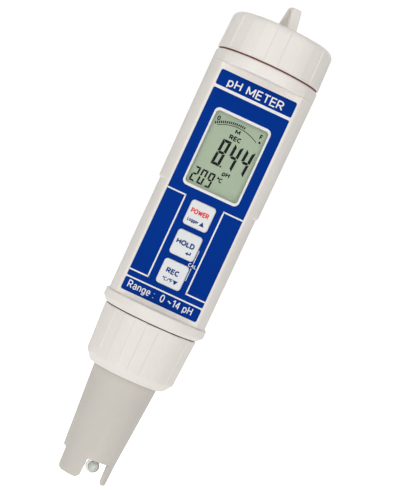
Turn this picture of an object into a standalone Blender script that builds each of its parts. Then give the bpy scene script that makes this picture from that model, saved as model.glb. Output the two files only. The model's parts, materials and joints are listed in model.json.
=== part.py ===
"""A pen-style pH meter: a tubular housing with a flat printed front, a screw battery cap with a
lanyard loop, and a plug-in electrode held by a screw lock ring.

The meter stands upright on +Z with its electrode down. The origin is on the long axis, level with
the tips of the electrode's guard prongs. The flat front faces -Y. Azimuths are counted from the
front towards +X. All dimensions in this file are in millimetres, and make_object() writes metres.
"""

import math

import bmesh
import bpy
from mathutils import Vector

MM = 0.001
SEGMENTS = 36
SMALL_SEGMENTS = 12

# Heights along the axis
PRONG_TIP_Z = 0.0
TUBE_END_Z = 8.2
RING_BOTTOM_Z = 40.1
RING_CHAMFER_Z = 43.5
RING_TOP_Z = 61.3
BODY_BOTTOM_Z = 62.0
FLANGE_LOW_Z = 63.5
FLANGE_HIGH_Z = 66.3
FLAT_BOTTOM_Z = 66.9
STEP_Z = 111.1
FLAT_TOP_Z = 156.9
BODY_TOP_Z = 161.6
CAP_BOTTOM_Z = 162.4
NECK_TOP_Z = 172.0
CAP_TOP_Z = 176.8
LOOP_TOP_Z = 186.2

# Radii
BODY_RADIUS = 20.0
GRIP_RADIUS = 19.05
CAVITY_RADIUS = 17.0
RING_TOP_RADIUS = 17.95
RING_LOW_RADIUS = 17.1
RING_FOOT_RADIUS = 14.5
TUBE_TOP_RADIUS = 12.4
TUBE_END_RADIUS = 10.1
TUBE_BORE_RADIUS = 8.3

# The flat front, its corners and the wall behind it
FRONT_Y = -13.5
FRONT_CORNER_X = 16.5
FRONT_FILLET = 1.5
INNER_FRONT_Y = -11.3
INNER_CORNER_X = 14.3
INNER_FILLET = 1.0

# Screw threads, alike at both ends of the housing
PITCH = 3.0
THREAD_BASE = 1.5
THREAD_TIP = 0.7
THREAD_TURNS = 1.75
THREAD_STEPS = 24
THREAD_SUNK = 0.3
THREAD_FADE_STEPS = 2
TOP_NECK_ROOT = 16.9
TOP_NECK_CREST = 17.7
TOP_NECK_BORE = 15.3
CAP_THREAD_ROOT = 18.2
CAP_THREAD_CREST = 17.3
TOP_THREAD_Z = 165.2
LOW_NECK_ROOT = 14.9
LOW_NECK_CREST = 15.6
LOW_NECK_BORE = 12.9
LOW_NECK_END_Z = 47.0
RING_THREAD_ROOT = 16.0
RING_THREAD_CREST = 15.25
LOW_THREAD_Z = 50.0

# Flat panels moulded round the cap and the lock ring
PANELS = 24
PANEL_STEP = 0.3
PANEL_EDGE_DEG = 0.7
CAP_PANEL_PHASE_DEG = -8.0
RING_PANEL_PHASE_DEG = -1.6

# The printed front
LABEL_HALF_WIDTH = 14.75
LABEL_LOW_Z = 68.7
LABEL_HIGH_Z = 154.5
LABEL_CORNER = 1.0
LABEL_FRONT_Y = -13.48
LABEL_BACK_Y = -13.08
RECESS_FLOOR_Y = -12.8
RECESS_MARGIN = 0.25
DISPLAY_Z = 126.65
WINDOW_WIDTH = 20.4
WINDOW_HEIGHT = 27.9
GLASS_WIDTH = 24.0
GLASS_HEIGHT = 32.4
OPENING_MARGIN = 0.3

# Keys, from the top down
KEY_HEIGHTS = {"power_key": 103.6, "hold_key": 92.2, "record_key": 80.8}
KEY_SIDE = 9.7
KEY_FLANGE_SIDE = 10.8
KEY_GAP = 0.2
KEY_FACE_Y = -14.1
KEY_STEM_RADIUS = 1.6
KEY_STEM_Y = -11.2

# Main board
BOARD_HALF_WIDTH = 13.0
BOARD_LOW_Z = 68.5
BOARD_HIGH_Z = 147.0
BOARD_FRONT_Y = -9.2
BOARD_BACK_Y = -8.2
BOARD_SCREW_X = 10.0
BOARD_SCREW_Z = 71.5
SCREW_SHANK = 0.9
SCREW_HOLE = 1.2

# Battery compartment: four AAA cells in a square
CELL_RADIUS = 5.05
CELL_LENGTH = 44.5
CELL_X = 5.55
CELL_FRONT_Y = -2.0
CELL_BACK_Y = 8.35
CELL_BOTTOM_Z = 126.7
CELL_NUB_RADIUS = 1.9
CELL_NUB_HEIGHT = 0.8
HOLDER_Z = 121.4
HOLDER_THICK = 1.5
CONTACT_Z = 123.2
CONTACT_THICK = 0.4

# Disc under the cap that closes the cells' circuit, and the stub that carries it
DISC_LOW_Z = 172.8
DISC_HIGH_Z = 174.3
DISC_RADIUS = 16.6
DISC_BORE = 2.4
STUB_RADIUS = 2.0
STUB_END_Z = 172.55
CAP_CEILING_Z = 174.9
CAP_CONTACT_LOW_Z = 172.0

# Lanyard loop on the cap
LOOP_TURN_DEG = 15.5
LOOP_HALF_WIDTH = 1.8
LOOP_THICKNESS = 1.7

# Upper end of the electrode, inside the lock ring and the housing
SHOULDER_RADIUS = 14.8
SHOULDER_LOW_Z = 43.6
SHOULDER_HIGH_Z = 46.6
COLLAR_RADIUS = 12.5
COLLAR_BORE = 10.4
COLLAR_TOP_Z = 55.0
COLLAR_FLOOR_Z = 48.0
NARROW_BORE_Z = 12.6
PLUG_SKIRT_RADIUS = 10.05
PLUG_TOP_Z = 60.0
PLUG_GROOVE_RADIUS = 11.4
PLUG_SEAL_Z = 57.5
STEM_TOP_Z = 49.5

# Five-pin connector between the electrode and the housing
PINS = 5
PIN_CIRCLE = 3.2
PIN_RADIUS = 0.5
PIN_HOLE = 0.9

# Tip of the electrode
BULB_X = 2.8
BULB_Z = 4.75
BULB_RADIUS = 2.65
BULB_WALL = 0.35
STEM_RADIUS = 2.0
STEM_BORE = 1.3
SENSOR_X = -3.2
SENSOR_Y = 1.5
SENSOR_RADIUS = 1.4
JUNCTION_X = 0.6
JUNCTION_Y = 4.8
JUNCTION_RADIUS = 1.0
TIP_HOLE_GAP = 0.3


# ---------------------------------------------------------------- scene, materials, meshes


def clear_scene():
    for obj in list(bpy.data.objects):
        bpy.data.objects.remove(obj)


def finish(name, colour, roughness, metallic=0.0, alpha=1.0):
    """A Principled material, made once for each name."""
    found = bpy.data.materials.get(name)
    if found:
        return found
    made = bpy.data.materials.new(name)
    made.use_nodes = True
    shader = made.node_tree.nodes["Principled BSDF"]
    shader.inputs["Base Color"].default_value = (*colour, 1.0)
    shader.inputs["Roughness"].default_value = roughness
    shader.inputs["Metallic"].default_value = metallic
    shader.inputs["Alpha"].default_value = alpha
    return made


def housing_plastic():
    return finish("housing_plastic", (0.74, 0.70, 0.65), 0.42)


def electrode_plastic():
    return finish("electrode_plastic", (0.58, 0.55, 0.50), 0.45)


def black_plastic():
    return finish("black_plastic", (0.02, 0.02, 0.022), 0.5)


def key_plastic():
    return finish("key_plastic", (0.82, 0.82, 0.82), 0.4)


def overlay_film():
    return finish("overlay_film", (0.001, 0.033, 0.262), 0.3)


def clear_plastic():
    return finish("clear_plastic", (0.9, 0.95, 0.92), 0.05, alpha=0.3)


def clear_glass():
    return finish("clear_glass", (0.92, 0.95, 0.95), 0.02, alpha=0.35)


def display_glass_finish():
    return finish("display_glass", (0.39, 0.47, 0.35), 0.15)


def red_rubber():
    return finish("red_rubber", (0.17, 0.03, 0.015), 0.6)


def dark_rubber():
    return finish("dark_rubber", (0.03, 0.018, 0.012), 0.65)


def elastomer():
    return finish("elastomer", (0.35, 0.35, 0.36), 0.7)


def circuit_board():
    return finish("circuit_board", (0.012, 0.12, 0.045), 0.35)


def chip_black():
    return finish("chip_black", (0.015, 0.015, 0.017), 0.4)


def nickel():
    return finish("nickel", (0.62, 0.6, 0.56), 0.25, metallic=1.0)


def steel():
    return finish("steel", (0.55, 0.56, 0.57), 0.3, metallic=1.0)


def gold():
    return finish("gold", (0.8, 0.55, 0.2), 0.22, metallic=1.0)


def silver_wire():
    return finish("silver_wire", (0.8, 0.8, 0.78), 0.25, metallic=1.0)


def porous_ceramic():
    return finish("porous_ceramic", (0.8, 0.78, 0.72), 0.9)


def cell_sleeve():
    return finish("cell_sleeve", (0.05, 0.25, 0.12), 0.3, metallic=0.3)


def red_insulation():
    return finish("red_insulation", (0.5, 0.02, 0.02), 0.45)


def black_insulation():
    return finish("black_insulation", (0.02, 0.02, 0.02), 0.45)


def make_object(name, shape, material=None, origin=(0, 0, 0)):
    """An object from (points, faces) in millimetres, with its origin where it is asked for."""
    points, faces = shape
    offset = Vector(origin)
    mesh = bpy.data.meshes.new(name)
    mesh.from_pydata([(Vector(p) - offset) * MM for p in points], [], faces)
    work = bmesh.new()
    work.from_mesh(mesh)
    bmesh.ops.recalc_face_normals(work, faces=work.faces)
    work.to_mesh(mesh)
    work.free()
    mesh.shade_smooth()
    mesh.set_sharp_from_angle(angle=math.radians(35))
    made = bpy.data.objects.new(name, mesh)
    made.location = offset * MM
    bpy.context.collection.objects.link(made)
    if material:
        mesh.materials.append(material)
    return made


def combine(target, operation, name, shape):
    """Cuts a shape from the target, or joins it on, with a Boolean whose tool stays hidden."""
    tool = make_object(name, shape)
    tool.hide_render = True
    tool.display_type = "WIRE"
    modifier = target.modifiers.new(name, "BOOLEAN")
    modifier.object = tool
    modifier.operation = operation
    modifier.solver = "EXACT"


def cut(target, name, shape):
    combine(target, "DIFFERENCE", name, shape)


def join(target, name, shape):
    combine(target, "UNION", name, shape)


# ---------------------------------------------------------------- outlines and skins


def on_circle(radius, azimuth, z, centre=(0, 0)):
    x = centre[0] + radius * math.sin(azimuth)
    y = centre[1] - radius * math.cos(azimuth)
    return (x, y, z)


def circle(radius, z, centre=(0, 0), steps=SEGMENTS):
    """A level ring of points, or one point where the radius is nothing."""
    if radius == 0:
        return [(centre[0], centre[1], z)]
    turns = [math.tau * i / steps for i in range(steps)]
    return [on_circle(radius, turn, z, centre) for turn in turns]


def skin(rings, closed=False):
    """Points and faces through rings of equal count. A ring of one point is a pole. An open row
    of rings gets a face over each end, and a closed row joins its last ring to its first."""
    points = []
    starts = []
    for ring in rings:
        starts.append(len(points))
        points.extend(ring)
    faces = []
    pairs = list(zip(range(len(rings) - 1), range(1, len(rings))))
    if closed:
        pairs.append((len(rings) - 1, 0))
    for low, high in pairs:
        count = max(len(rings[low]), len(rings[high]))
        for i in range(count):
            k = (i + 1) % count
            corners = [starts[low] + i, starts[low] + k, starts[high] + k, starts[high] + i]
            if len(rings[low]) == 1:
                corners = [starts[low], corners[2], corners[3]]
            elif len(rings[high]) == 1:
                corners = [corners[0], corners[1], starts[high]]
            faces.append(corners)
    if not closed:
        for start, ring in ((starts[0], rings[0]), (starts[-1], rings[-1])):
            if len(ring) > 1:
                faces.append([start + i for i in range(len(ring))])
    return points, faces


def turned(profile, centre=(0, 0), steps=SEGMENTS, closed=True):
    """A turned shape from (radius, z) pairs. A closed profile makes a hollow ring."""
    return skin([circle(r, z, centre, steps) for r, z in profile], closed)


def facing_front(shape, centre):
    """Turns a shape made along +Z so that its heights run along Y, round centre (x, z)."""
    points, faces = shape
    return [(centre[0] + x, z, centre[1] + y) for x, y, z in points], faces


def pin_along_y(profile, centre, steps=SMALL_SEGMENTS):
    """A turned solid whose axis runs front to back, from (radius, y) pairs."""
    return facing_front(turned(profile, steps=steps, closed=False), centre)


def rounded_outline(half_width, half_height, corner, y, centre, steps=3):
    """A rounded rectangle in a plane of constant y, round centre (x, z)."""
    if corner == 0:
        signs = ((1, 1), (-1, 1), (-1, -1), (1, -1))
        return [(centre[0] + sx * half_width, y, centre[1] + sz * half_height) for sx, sz in signs]
    outline = []
    quarters = ((1, 1), (-1, 1), (-1, -1), (1, -1))
    for quarter, (sx, sz) in enumerate(quarters):
        for i in range(steps + 1):
            turn = math.pi / 2 * (quarter + i / steps)
            x = centre[0] + sx * (half_width - corner) + corner * math.cos(turn)
            z = centre[1] + sz * (half_height - corner) + corner * math.sin(turn)
            outline.append((x, y, z))
    return outline


def plate(half_width, half_height, corner, y_range, centre):
    """A flat plate that faces the front."""
    rings = [rounded_outline(half_width, half_height, corner, y, centre) for y in y_range]
    return skin(rings)


def box(x_range, y_range, z_range):
    """A plain block between its corners, used for cuts, ribs and boards."""
    x_mid, z_mid = sum(x_range) / 2, sum(z_range) / 2
    half_width = (x_range[1] - x_range[0]) / 2
    half_height = (z_range[1] - z_range[0]) / 2
    return plate(half_width, half_height, 0, y_range, (x_mid, z_mid))


def swept(path, outline, side):
    """A tube along a path. The outline's second coordinate runs along the side direction."""
    path = [Vector(p) for p in path]
    rings = []
    for i, here in enumerate(path):
        ahead = path[min(i + 1, len(path) - 1)]
        behind = path[max(i - 1, 0)]
        tangent = (ahead - behind).normalized()
        along = Vector(side)
        along = (along - tangent * along.dot(tangent)).normalized()
        across = along.cross(tangent)
        rings.append([tuple(here + across * a + along * b) for a, b in outline])
    return skin(rings)


def round_outline(radius, steps):
    turns = [math.tau * i / steps for i in range(steps)]
    return [(radius * math.cos(turn), radius * math.sin(turn)) for turn in turns]


def arc_profile(centre, radius, first_deg, last_deg, steps):
    """(radius, z) pairs along an arc, for the rounded stretch of a turned profile."""
    pairs = []
    for i in range(steps + 1):
        turn = math.radians(first_deg + (last_deg - first_deg) * i / steps)
        pairs.append((centre[0] + radius * math.cos(turn), centre[1] + radius * math.sin(turn)))
    return pairs


def thread_ridge(wall, crest, first_turn, start_z):
    """A helical ridge that grows from a wall radius to its crest, with faded ends. Both ends of
    the housing and both screw pieces use it, so that a male and a female ridge interleave."""
    count = round(THREAD_TURNS * THREAD_STEPS)
    sunk = wall - math.copysign(THREAD_SUNK, crest - wall)
    rings = []
    for i in range(count + 1):
        turn = first_turn + i / THREAD_STEPS
        fade = min(1, (i + 1) / THREAD_FADE_STEPS, (count + 1 - i) / THREAD_FADE_STEPS)
        tip = wall + (crest - wall) * fade
        z = start_z + PITCH * turn
        section = (
            (sunk, z - THREAD_BASE / 2),
            (tip, z - THREAD_TIP / 2),
            (tip, z + THREAD_TIP / 2),
            (sunk, z + THREAD_BASE / 2),
        )
        rings.append([on_circle(r, math.tau * turn, height) for r, height in section])
    return skin(rings)


# ---------------------------------------------------------------- housing


def front_section(radius, flat_y, corner_x, fillet):
    """The housing's cross-section as (x, y) pairs from the front centre round to the back and
    home again: a flat, a filleted corner, a straight side and a round back."""
    corner_turn = math.atan2(corner_x, -flat_y)
    reach = math.hypot(corner_x, flat_y)
    side_turn = corner_turn + math.acos(radius / reach)
    lean = side_turn
    tangent = fillet * math.tan(lean / 2)
    start_x = corner_x - tangent
    half = [(start_x * i / 3, flat_y) for i in range(3)]
    for i in range(4):
        turn = lean * i / 3
        x = start_x + fillet * math.sin(turn)
        y = flat_y + fillet * (1 - math.cos(turn))
        half.append((x, y))
    for i in range(11):
        turn = side_turn + (math.pi - side_turn) * i / 10
        half.append((radius * math.sin(turn), -radius * math.cos(turn)))
    mirrored = [(-x, y) for x, y in reversed(half[1:-1])]
    return half + mirrored


def flat_ring(z, radius):
    """The outer cross-section at one height of the flat-fronted part."""
    return [(x, y, z) for x, y in front_section(radius, FRONT_Y, FRONT_CORNER_X, FRONT_FILLET)]


def cavity_ring(z):
    section = front_section(CAVITY_RADIUS, INNER_FRONT_Y, INNER_CORNER_X, INNER_FILLET)
    return [(x, y, z) for x, y in section]


def round_ring(z, radius):
    """A round ring whose points stand at the same azimuths as the flat-fronted rings."""
    section = front_section(BODY_RADIUS, FRONT_Y, FRONT_CORNER_X, FRONT_FILLET)
    return [on_circle(radius, math.atan2(x, -y), z) for x, y in section]


def housing_shell():
    outside = [
        round_ring(LOW_NECK_END_Z, LOW_NECK_ROOT),
        round_ring(BODY_BOTTOM_Z, LOW_NECK_ROOT),
        round_ring(BODY_BOTTOM_Z, 18.4),
        round_ring(FLANGE_LOW_Z, BODY_RADIUS),
        round_ring(FLANGE_HIGH_Z, BODY_RADIUS),
        round_ring(FLAT_BOTTOM_Z - 0.2, 19.4),
        flat_ring(FLAT_BOTTOM_Z, GRIP_RADIUS),
        flat_ring(STEP_Z - 0.7, GRIP_RADIUS),
        flat_ring(STEP_Z, BODY_RADIUS),
        flat_ring(FLAT_TOP_Z, BODY_RADIUS),
        round_ring(FLAT_TOP_Z + 0.4, BODY_RADIUS),
        round_ring(BODY_TOP_Z - 0.4, BODY_RADIUS),
        round_ring(BODY_TOP_Z, BODY_RADIUS - 0.4),
        round_ring(BODY_TOP_Z, TOP_NECK_ROOT),
        round_ring(NECK_TOP_Z - 0.4, TOP_NECK_ROOT),
        round_ring(NECK_TOP_Z, TOP_NECK_ROOT - 0.4),
    ]
    inside = [
        round_ring(NECK_TOP_Z, TOP_NECK_BORE),
        round_ring(159.6, TOP_NECK_BORE),
        cavity_ring(157.4),
        cavity_ring(66.2),
        round_ring(64.7, LOW_NECK_BORE),
        round_ring(LOW_NECK_END_Z, LOW_NECK_BORE),
    ]
    return skin(outside + inside, closed=True)


def build_housing():
    housing = make_object("housing", housing_shell(), housing_plastic())
    top_thread = thread_ridge(TOP_NECK_ROOT, TOP_NECK_CREST, 0.0, TOP_THREAD_Z)
    join(housing, "top_thread", top_thread)
    low_thread = thread_ridge(LOW_NECK_ROOT, LOW_NECK_CREST, 0.0, LOW_THREAD_Z)
    join(housing, "low_thread", low_thread)
    label_mid = (0, (LABEL_LOW_Z + LABEL_HIGH_Z) / 2)
    recess_width = LABEL_HALF_WIDTH + RECESS_MARGIN
    recess_height = (LABEL_HIGH_Z - LABEL_LOW_Z) / 2 + RECESS_MARGIN
    recess_y = (RECESS_FLOOR_Y, FRONT_Y - 1)
    recess = plate(recess_width, recess_height, LABEL_CORNER, recess_y, label_mid)
    cut(housing, "label_recess", recess)
    opening_width = GLASS_WIDTH / 2 + OPENING_MARGIN
    opening_height = GLASS_HEIGHT / 2 + OPENING_MARGIN
    through_y = (INNER_FRONT_Y + 1, FRONT_Y)
    opening = plate(opening_width, opening_height, 0.6, through_y, (0, DISPLAY_Z))
    cut(housing, "display_opening", opening)
    key_mid = sum(KEY_HEIGHTS.values()) / len(KEY_HEIGHTS)
    well_height = max(KEY_HEIGHTS.values()) - key_mid + KEY_FLANGE_SIDE / 2 + OPENING_MARGIN
    well_width = KEY_FLANGE_SIDE / 2 + OPENING_MARGIN
    well = plate(well_width, well_height, 1.0, through_y, (0, key_mid))
    cut(housing, "key_well", well)
    for side in (-1, 1):
        centre = (side * BOARD_SCREW_X, BOARD_SCREW_Z)
        boss_end = BOARD_FRONT_Y - 0.3
        boss = pin_along_y([(2.1, INNER_FRONT_Y - 0.4), (2.1, boss_end)], centre)
        join(housing, f"boss_{side}", boss)
        hole = pin_along_y([(SCREW_HOLE, -12.2), (SCREW_HOLE, boss_end + 1)], centre)
        cut(housing, f"boss_hole_{side}", hole)
        keyway_y = (12.0, 16.2) if side > 0 else (-16.2, -12.0)
        cut(housing, f"disc_keyway_{side}", box((-2.1, 2.1), keyway_y, (159.9, NECK_TOP_Z + 1)))
    cut(housing, "plug_keyway", box((-1.6, 1.6), (11.0, 13.9), (LOW_NECK_END_Z - 1, 60.6)))


# ---------------------------------------------------------------- printed front and keys


def build_overlay():
    middle = (0, (LABEL_LOW_Z + LABEL_HIGH_Z) / 2)
    half_height = (LABEL_HIGH_Z - LABEL_LOW_Z) / 2
    thickness = (LABEL_BACK_Y, LABEL_FRONT_Y)
    sheet = plate(LABEL_HALF_WIDTH, half_height, LABEL_CORNER, thickness, middle)
    overlay = make_object("front_overlay", sheet, overlay_film())
    through = (LABEL_BACK_Y + 0.5, LABEL_FRONT_Y - 0.5)
    view = plate(WINDOW_WIDTH / 2, WINDOW_HEIGHT / 2, 1.2, through, (0, DISPLAY_Z))
    cut(overlay, "display_view", view)
    for name, height in KEY_HEIGHTS.items():
        side = KEY_SIDE / 2 + KEY_GAP
        cut(overlay, name + "_hole", plate(side, side, 1.4, through, (0, height)))


def build_display():
    half_width, half_height = GLASS_WIDTH / 2, GLASS_HEIGHT / 2
    centre = (0, DISPLAY_Z)
    pane = plate(half_width, half_height, 0.5, (-12.18, -12.78), centre)
    make_object("display_window", pane, clear_plastic())
    glass = plate(half_width, half_height, 0.3, (-10.1, -11.9), centre)
    make_object("display_glass", glass, display_glass_finish())
    for name, offset in (("upper", half_height - 1.0), ("lower", 1.0 - half_height)):
        strip = plate(11.0, 0.8, 0.2, (-9.35, -9.95), (0, DISPLAY_Z + offset))
        make_object(f"display_connector_{name}", strip, elastomer())


def build_key(name, height):
    """A key with a flange that the overlay holds in, and a stem towards its switch."""
    centre = (0, height)
    half = KEY_SIDE / 2
    flange = KEY_FLANGE_SIDE / 2
    flange_y = RECESS_FLOOR_Y + 0.08
    back_y = -12.1
    rings = [
        rounded_outline(half - 0.35, half - 0.35, 0.9, KEY_FACE_Y, centre),
        rounded_outline(half - 0.1, half - 0.1, 1.1, KEY_FACE_Y + 0.1, centre),
        rounded_outline(half, half, 1.2, KEY_FACE_Y + 0.35, centre),
        rounded_outline(half, half, 1.2, flange_y, centre),
        rounded_outline(flange, flange, 1.2, flange_y, centre),
        rounded_outline(flange, flange, 1.2, back_y, centre),
        rounded_outline(KEY_STEM_RADIUS, KEY_STEM_RADIUS, KEY_STEM_RADIUS, back_y, centre),
        rounded_outline(KEY_STEM_RADIUS, KEY_STEM_RADIUS, KEY_STEM_RADIUS, KEY_STEM_Y, centre),
    ]
    make_object(name, skin(rings), key_plastic(), origin=(0, KEY_FACE_Y, height))


def build_switch(name, height):
    """A square switch body on the board with the round hump of its dome."""
    centre = (0, height)
    base = [rounded_outline(3.0, 3.0, 0.4, y, centre) for y in (-9.35, -10.35)]
    hump = [rounded_outline(r, r, r, y, centre) for r, y in ((1.9, -10.35), (1.5, -10.7))]
    make_object(name, skin(base + hump), nickel())


def build_keys():
    for name, height in KEY_HEIGHTS.items():
        build_key(name, height)
        build_switch(name.replace("key", "switch"), height)


# ---------------------------------------------------------------- board and wiring


def build_board():
    y_range = (BOARD_BACK_Y, BOARD_FRONT_Y)
    middle = (0, (BOARD_LOW_Z + BOARD_HIGH_Z) / 2)
    sheet = plate(BOARD_HALF_WIDTH, (BOARD_HIGH_Z - BOARD_LOW_Z) / 2, 1.0, y_range, middle)
    board = make_object("main_board", sheet, circuit_board())
    for side, name in ((-1, "left"), (1, "right")):
        centre = (side * BOARD_SCREW_X, BOARD_SCREW_Z)
        through = [(SCREW_HOLE, BOARD_FRONT_Y - 0.5), (SCREW_HOLE, BOARD_BACK_Y + 0.5)]
        cut(board, f"screw_hole_{name}", pin_along_y(through, centre))
        head_y = BOARD_BACK_Y + 0.2
        screw = pin_along_y(
            [
                (0, -12.0),
                (SCREW_SHANK, -11.7),
                (SCREW_SHANK, head_y),
                (1.8, head_y),
                (1.8, head_y + 0.6),
                (1.2, head_y + 1.1),
                (0.5, head_y + 1.1),
                (0.5, head_y + 0.6),
                (0, head_y + 0.6),
            ],
            centre,
        )
        make_object(f"board_screw_{name}", screw, steel())


def build_chips():
    chip_y = (BOARD_BACK_Y + 1.5, BOARD_BACK_Y + 0.2)
    make_object("processor_chip", plate(5.0, 5.0, 0.3, chip_y, (0, 101.0)), chip_black())
    make_object("amplifier_chip", plate(2.0, 2.5, 0.2, chip_y, (-6.0, 83.0)), chip_black())
    crystal_y = (BOARD_BACK_Y + 2.2, BOARD_BACK_Y + 0.2)
    make_object("crystal", plate(5.2, 2.0, 1.9, crystal_y, (3.5, 90.5)), steel())


def build_wiring():
    """The ribbon from the socket to the board, and the two battery leads."""
    ribbon_path = [(0, 1.0, 67.4), (0, 0.6, 70.5), (0, -1.5, 73.5), (0, -5.0, 75.5), (0, -7.6, 76.0)]
    ribbon_outline = [(-0.35, -3.0), (0.35, -3.0), (0.35, 3.0), (-0.35, 3.0)]
    ribbon = swept(ribbon_path, ribbon_outline, (1, 0, 0))
    make_object("probe_ribbon", ribbon, elastomer())
    finishes = ((-1, "minus", black_insulation()), (1, "plus", red_insulation()))
    for side, name, material in finishes:
        x = side * 7.0
        path = [(x, -3.0, 121.0), (x, -3.1, 119.0), (x, -4.2, 116.0), (x, -6.0, 114.2), (x, -7.5, 113.8)]
        lead = swept(path, round_outline(0.5, 8), (1, 0, 0))
        make_object(f"battery_lead_{name}", lead, material)


def build_socket():
    """The female half of the probe connector, closed off at its top."""
    profile = [(8.0, 61.2), (8.0, 62.2), (12.5, 62.2), (12.5, 64.2), (6.0, 64.2), (6.0, 67.0)]
    socket = make_object("probe_socket", turned(profile, closed=False), black_plastic())
    for index, centre in enumerate(pin_centres()):
        hole = turned([(PIN_HOLE, 60.5), (PIN_HOLE, 65.7)], centre, 8, closed=False)
        cut(socket, f"pin_hole_{index}", hole)


def pin_centres():
    """The connector's pins on a circle round the axis."""
    turns = [math.tau * i / PINS for i in range(PINS)]
    return [on_circle(PIN_CIRCLE, turn, 0)[:2] for turn in turns]


# ---------------------------------------------------------------- batteries


def cell_centres():
    """Left and right cells in front, then behind. Names follow from the side and the row."""
    rows = (("front", CELL_FRONT_Y), ("back", CELL_BACK_Y))
    sides = (("left", -CELL_X), ("right", CELL_X))
    return {f"{row}_{side}": (x, y) for row, y in rows for side, x in sides}


def build_cells():
    """Neighbouring cells point opposite ways, as cells in series do."""
    top = CELL_BOTTOM_Z + CELL_LENGTH
    shoulder = top - CELL_NUB_HEIGHT
    profile = [
        (CELL_RADIUS - 0.6, CELL_BOTTOM_Z),
        (CELL_RADIUS, CELL_BOTTOM_Z + 0.6),
        (CELL_RADIUS, shoulder - 0.5),
        (CELL_RADIUS - 0.5, shoulder),
        (CELL_NUB_RADIUS, shoulder),
        (CELL_NUB_RADIUS, top),
    ]
    flipped = [(r, CELL_BOTTOM_Z + top - z) for r, z in reversed(profile)]
    for name, centre in cell_centres().items():
        shape = profile if name in ("front_left", "back_right") else flipped
        solid = turned(shape, centre, 18, closed=False)
        make_object(f"battery_cell_{name}", solid, cell_sleeve())


def build_holder():
    """The battery compartment's floor, its wall against the board, and a rib between cells."""
    floor = turned([(16.4, HOLDER_Z), (16.4, HOLDER_Z + HOLDER_THICK)], closed=False)
    holder = make_object("battery_holder", floor, black_plastic())
    cut(holder, "holder_front", box((-20, 20), (-20, -7.9), (HOLDER_Z - 5, HOLDER_Z + 5)))
    join(holder, "holder_wall", box((-12.4, 12.4), (-7.9, -7.35), (HOLDER_Z + 0.2, 157.0)))
    join(holder, "holder_rib", box((-0.25, 0.25), (-7.6, 12.5), (124.4, 155.0)))


def contact_strip(x_range, y_range, button_centre):
    """A flat contact plate with a raised button where a cell's nub rests."""
    low, high = CONTACT_Z, CONTACT_Z + CONTACT_THICK
    sheet = box(x_range, y_range, (low, high))
    button_profile = [(1.9, low + 0.1), (1.9, CELL_BOTTOM_Z - 0.8), (1.4, CELL_BOTTOM_Z - 0.3)]
    return sheet, turned(button_profile, button_centre, SMALL_SEGMENTS, closed=False)


def build_base_contacts():
    cells = cell_centres()
    half = 3.2
    x, y = cells["front_left"]
    low, high = CONTACT_Z, CONTACT_Z + CONTACT_THICK
    spring_plate = box((x - half, x + half), (y - half, y + half), (low, high))
    make_object("base_contact_minus", spring_plate, nickel())
    x, y = cells["front_right"]
    sheet, button = contact_strip((x - half, x + half), (y - half, y + half), (x, y))
    plus = make_object("base_contact_plus", sheet, nickel())
    join(plus, "plus_button", button)
    left, right = cells["back_left"], cells["back_right"]
    sheet, button = contact_strip(
        (left[0] - 2.8, right[0] + 2.8), (left[1] - half, left[1] + half), left
    )
    bridge = make_object("base_bridge", sheet, nickel())
    join(bridge, "bridge_button", button)


def build_springs():
    """Conical springs under the two cells that stand on their flat ends."""
    turns, steps = 3, 10
    low = CONTACT_Z + CONTACT_THICK + 0.45
    high = CELL_BOTTOM_Z - 0.45
    for name in ("front_left", "back_right"):
        centre = cell_centres()[name]
        path = []
        for i in range(turns * steps + 1):
            share = i / (turns * steps)
            radius = 2.9 - 1.2 * share
            path.append(on_circle(radius, math.tau * i / steps, low + (high - low) * share, centre))
        coil = swept(path, round_outline(0.25, 5), (0, 0, 1))
        make_object(f"battery_spring_{name}", coil, steel())


# ---------------------------------------------------------------- screw pieces with panels


def panel_azimuths(phase_deg):
    """Two azimuths for each panel, just inside its edges."""
    step = 360 / PANELS
    azimuths = []
    for panel in range(PANELS):
        start = phase_deg + panel * step
        azimuths.append(math.radians(start + PANEL_EDGE_DEG))
        azimuths.append(math.radians(start + step - PANEL_EDGE_DEG))
    return azimuths


def panel_ring(radius, z, phase_deg, depth=0.0):
    """A ring whose every second panel is sunk by depth."""
    ring = []
    for index, azimuth in enumerate(panel_azimuths(phase_deg)):
        sunk = depth if (index // 2) % 2 else 0.0
        ring.append(on_circle(radius - sunk, azimuth, z))
    return ring


def loop_outline(foot, shoulder, foot_z, top_z, corner):
    """Half-arch in the loop's own plane as (u, z) pairs, from foot to shoulder to foot."""
    right = [(foot, foot_z), (shoulder + corner * 0.25, top_z - corner)]
    right.append((shoulder - corner * 0.2, top_z - corner * 0.3))
    right.append((shoulder - corner, top_z))
    return right + [(-u, z) for u, z in reversed(right)]


def lanyard_loop():
    """A flat strap bent into a tapering arch, its plane turned a little from front to back."""
    turn = math.radians(LOOP_TURN_DEG)
    forward = Vector((math.sin(turn), -math.cos(turn), 0))
    sideways = Vector((math.cos(turn), math.sin(turn), 0))
    foot_z = CAP_TOP_Z - 0.8
    outer = loop_outline(8.6, 2.9, foot_z, LOOP_TOP_Z, 1.2)
    inner = loop_outline(6.8, 2.0, foot_z, LOOP_TOP_Z - LOOP_THICKNESS, 0.7)
    rings = []
    for outside, inside in zip(outer, inner):
        corners = ((outside, 1), (outside, -1), (inside, -1), (inside, 1))
        ring = []
        for (u, z), side in corners:
            edge = sideways * (side * LOOP_HALF_WIDTH)
            ring.append(tuple(forward * u + edge + Vector((0, 0, z))))
        rings.append(ring)
    return skin(rings)


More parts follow.
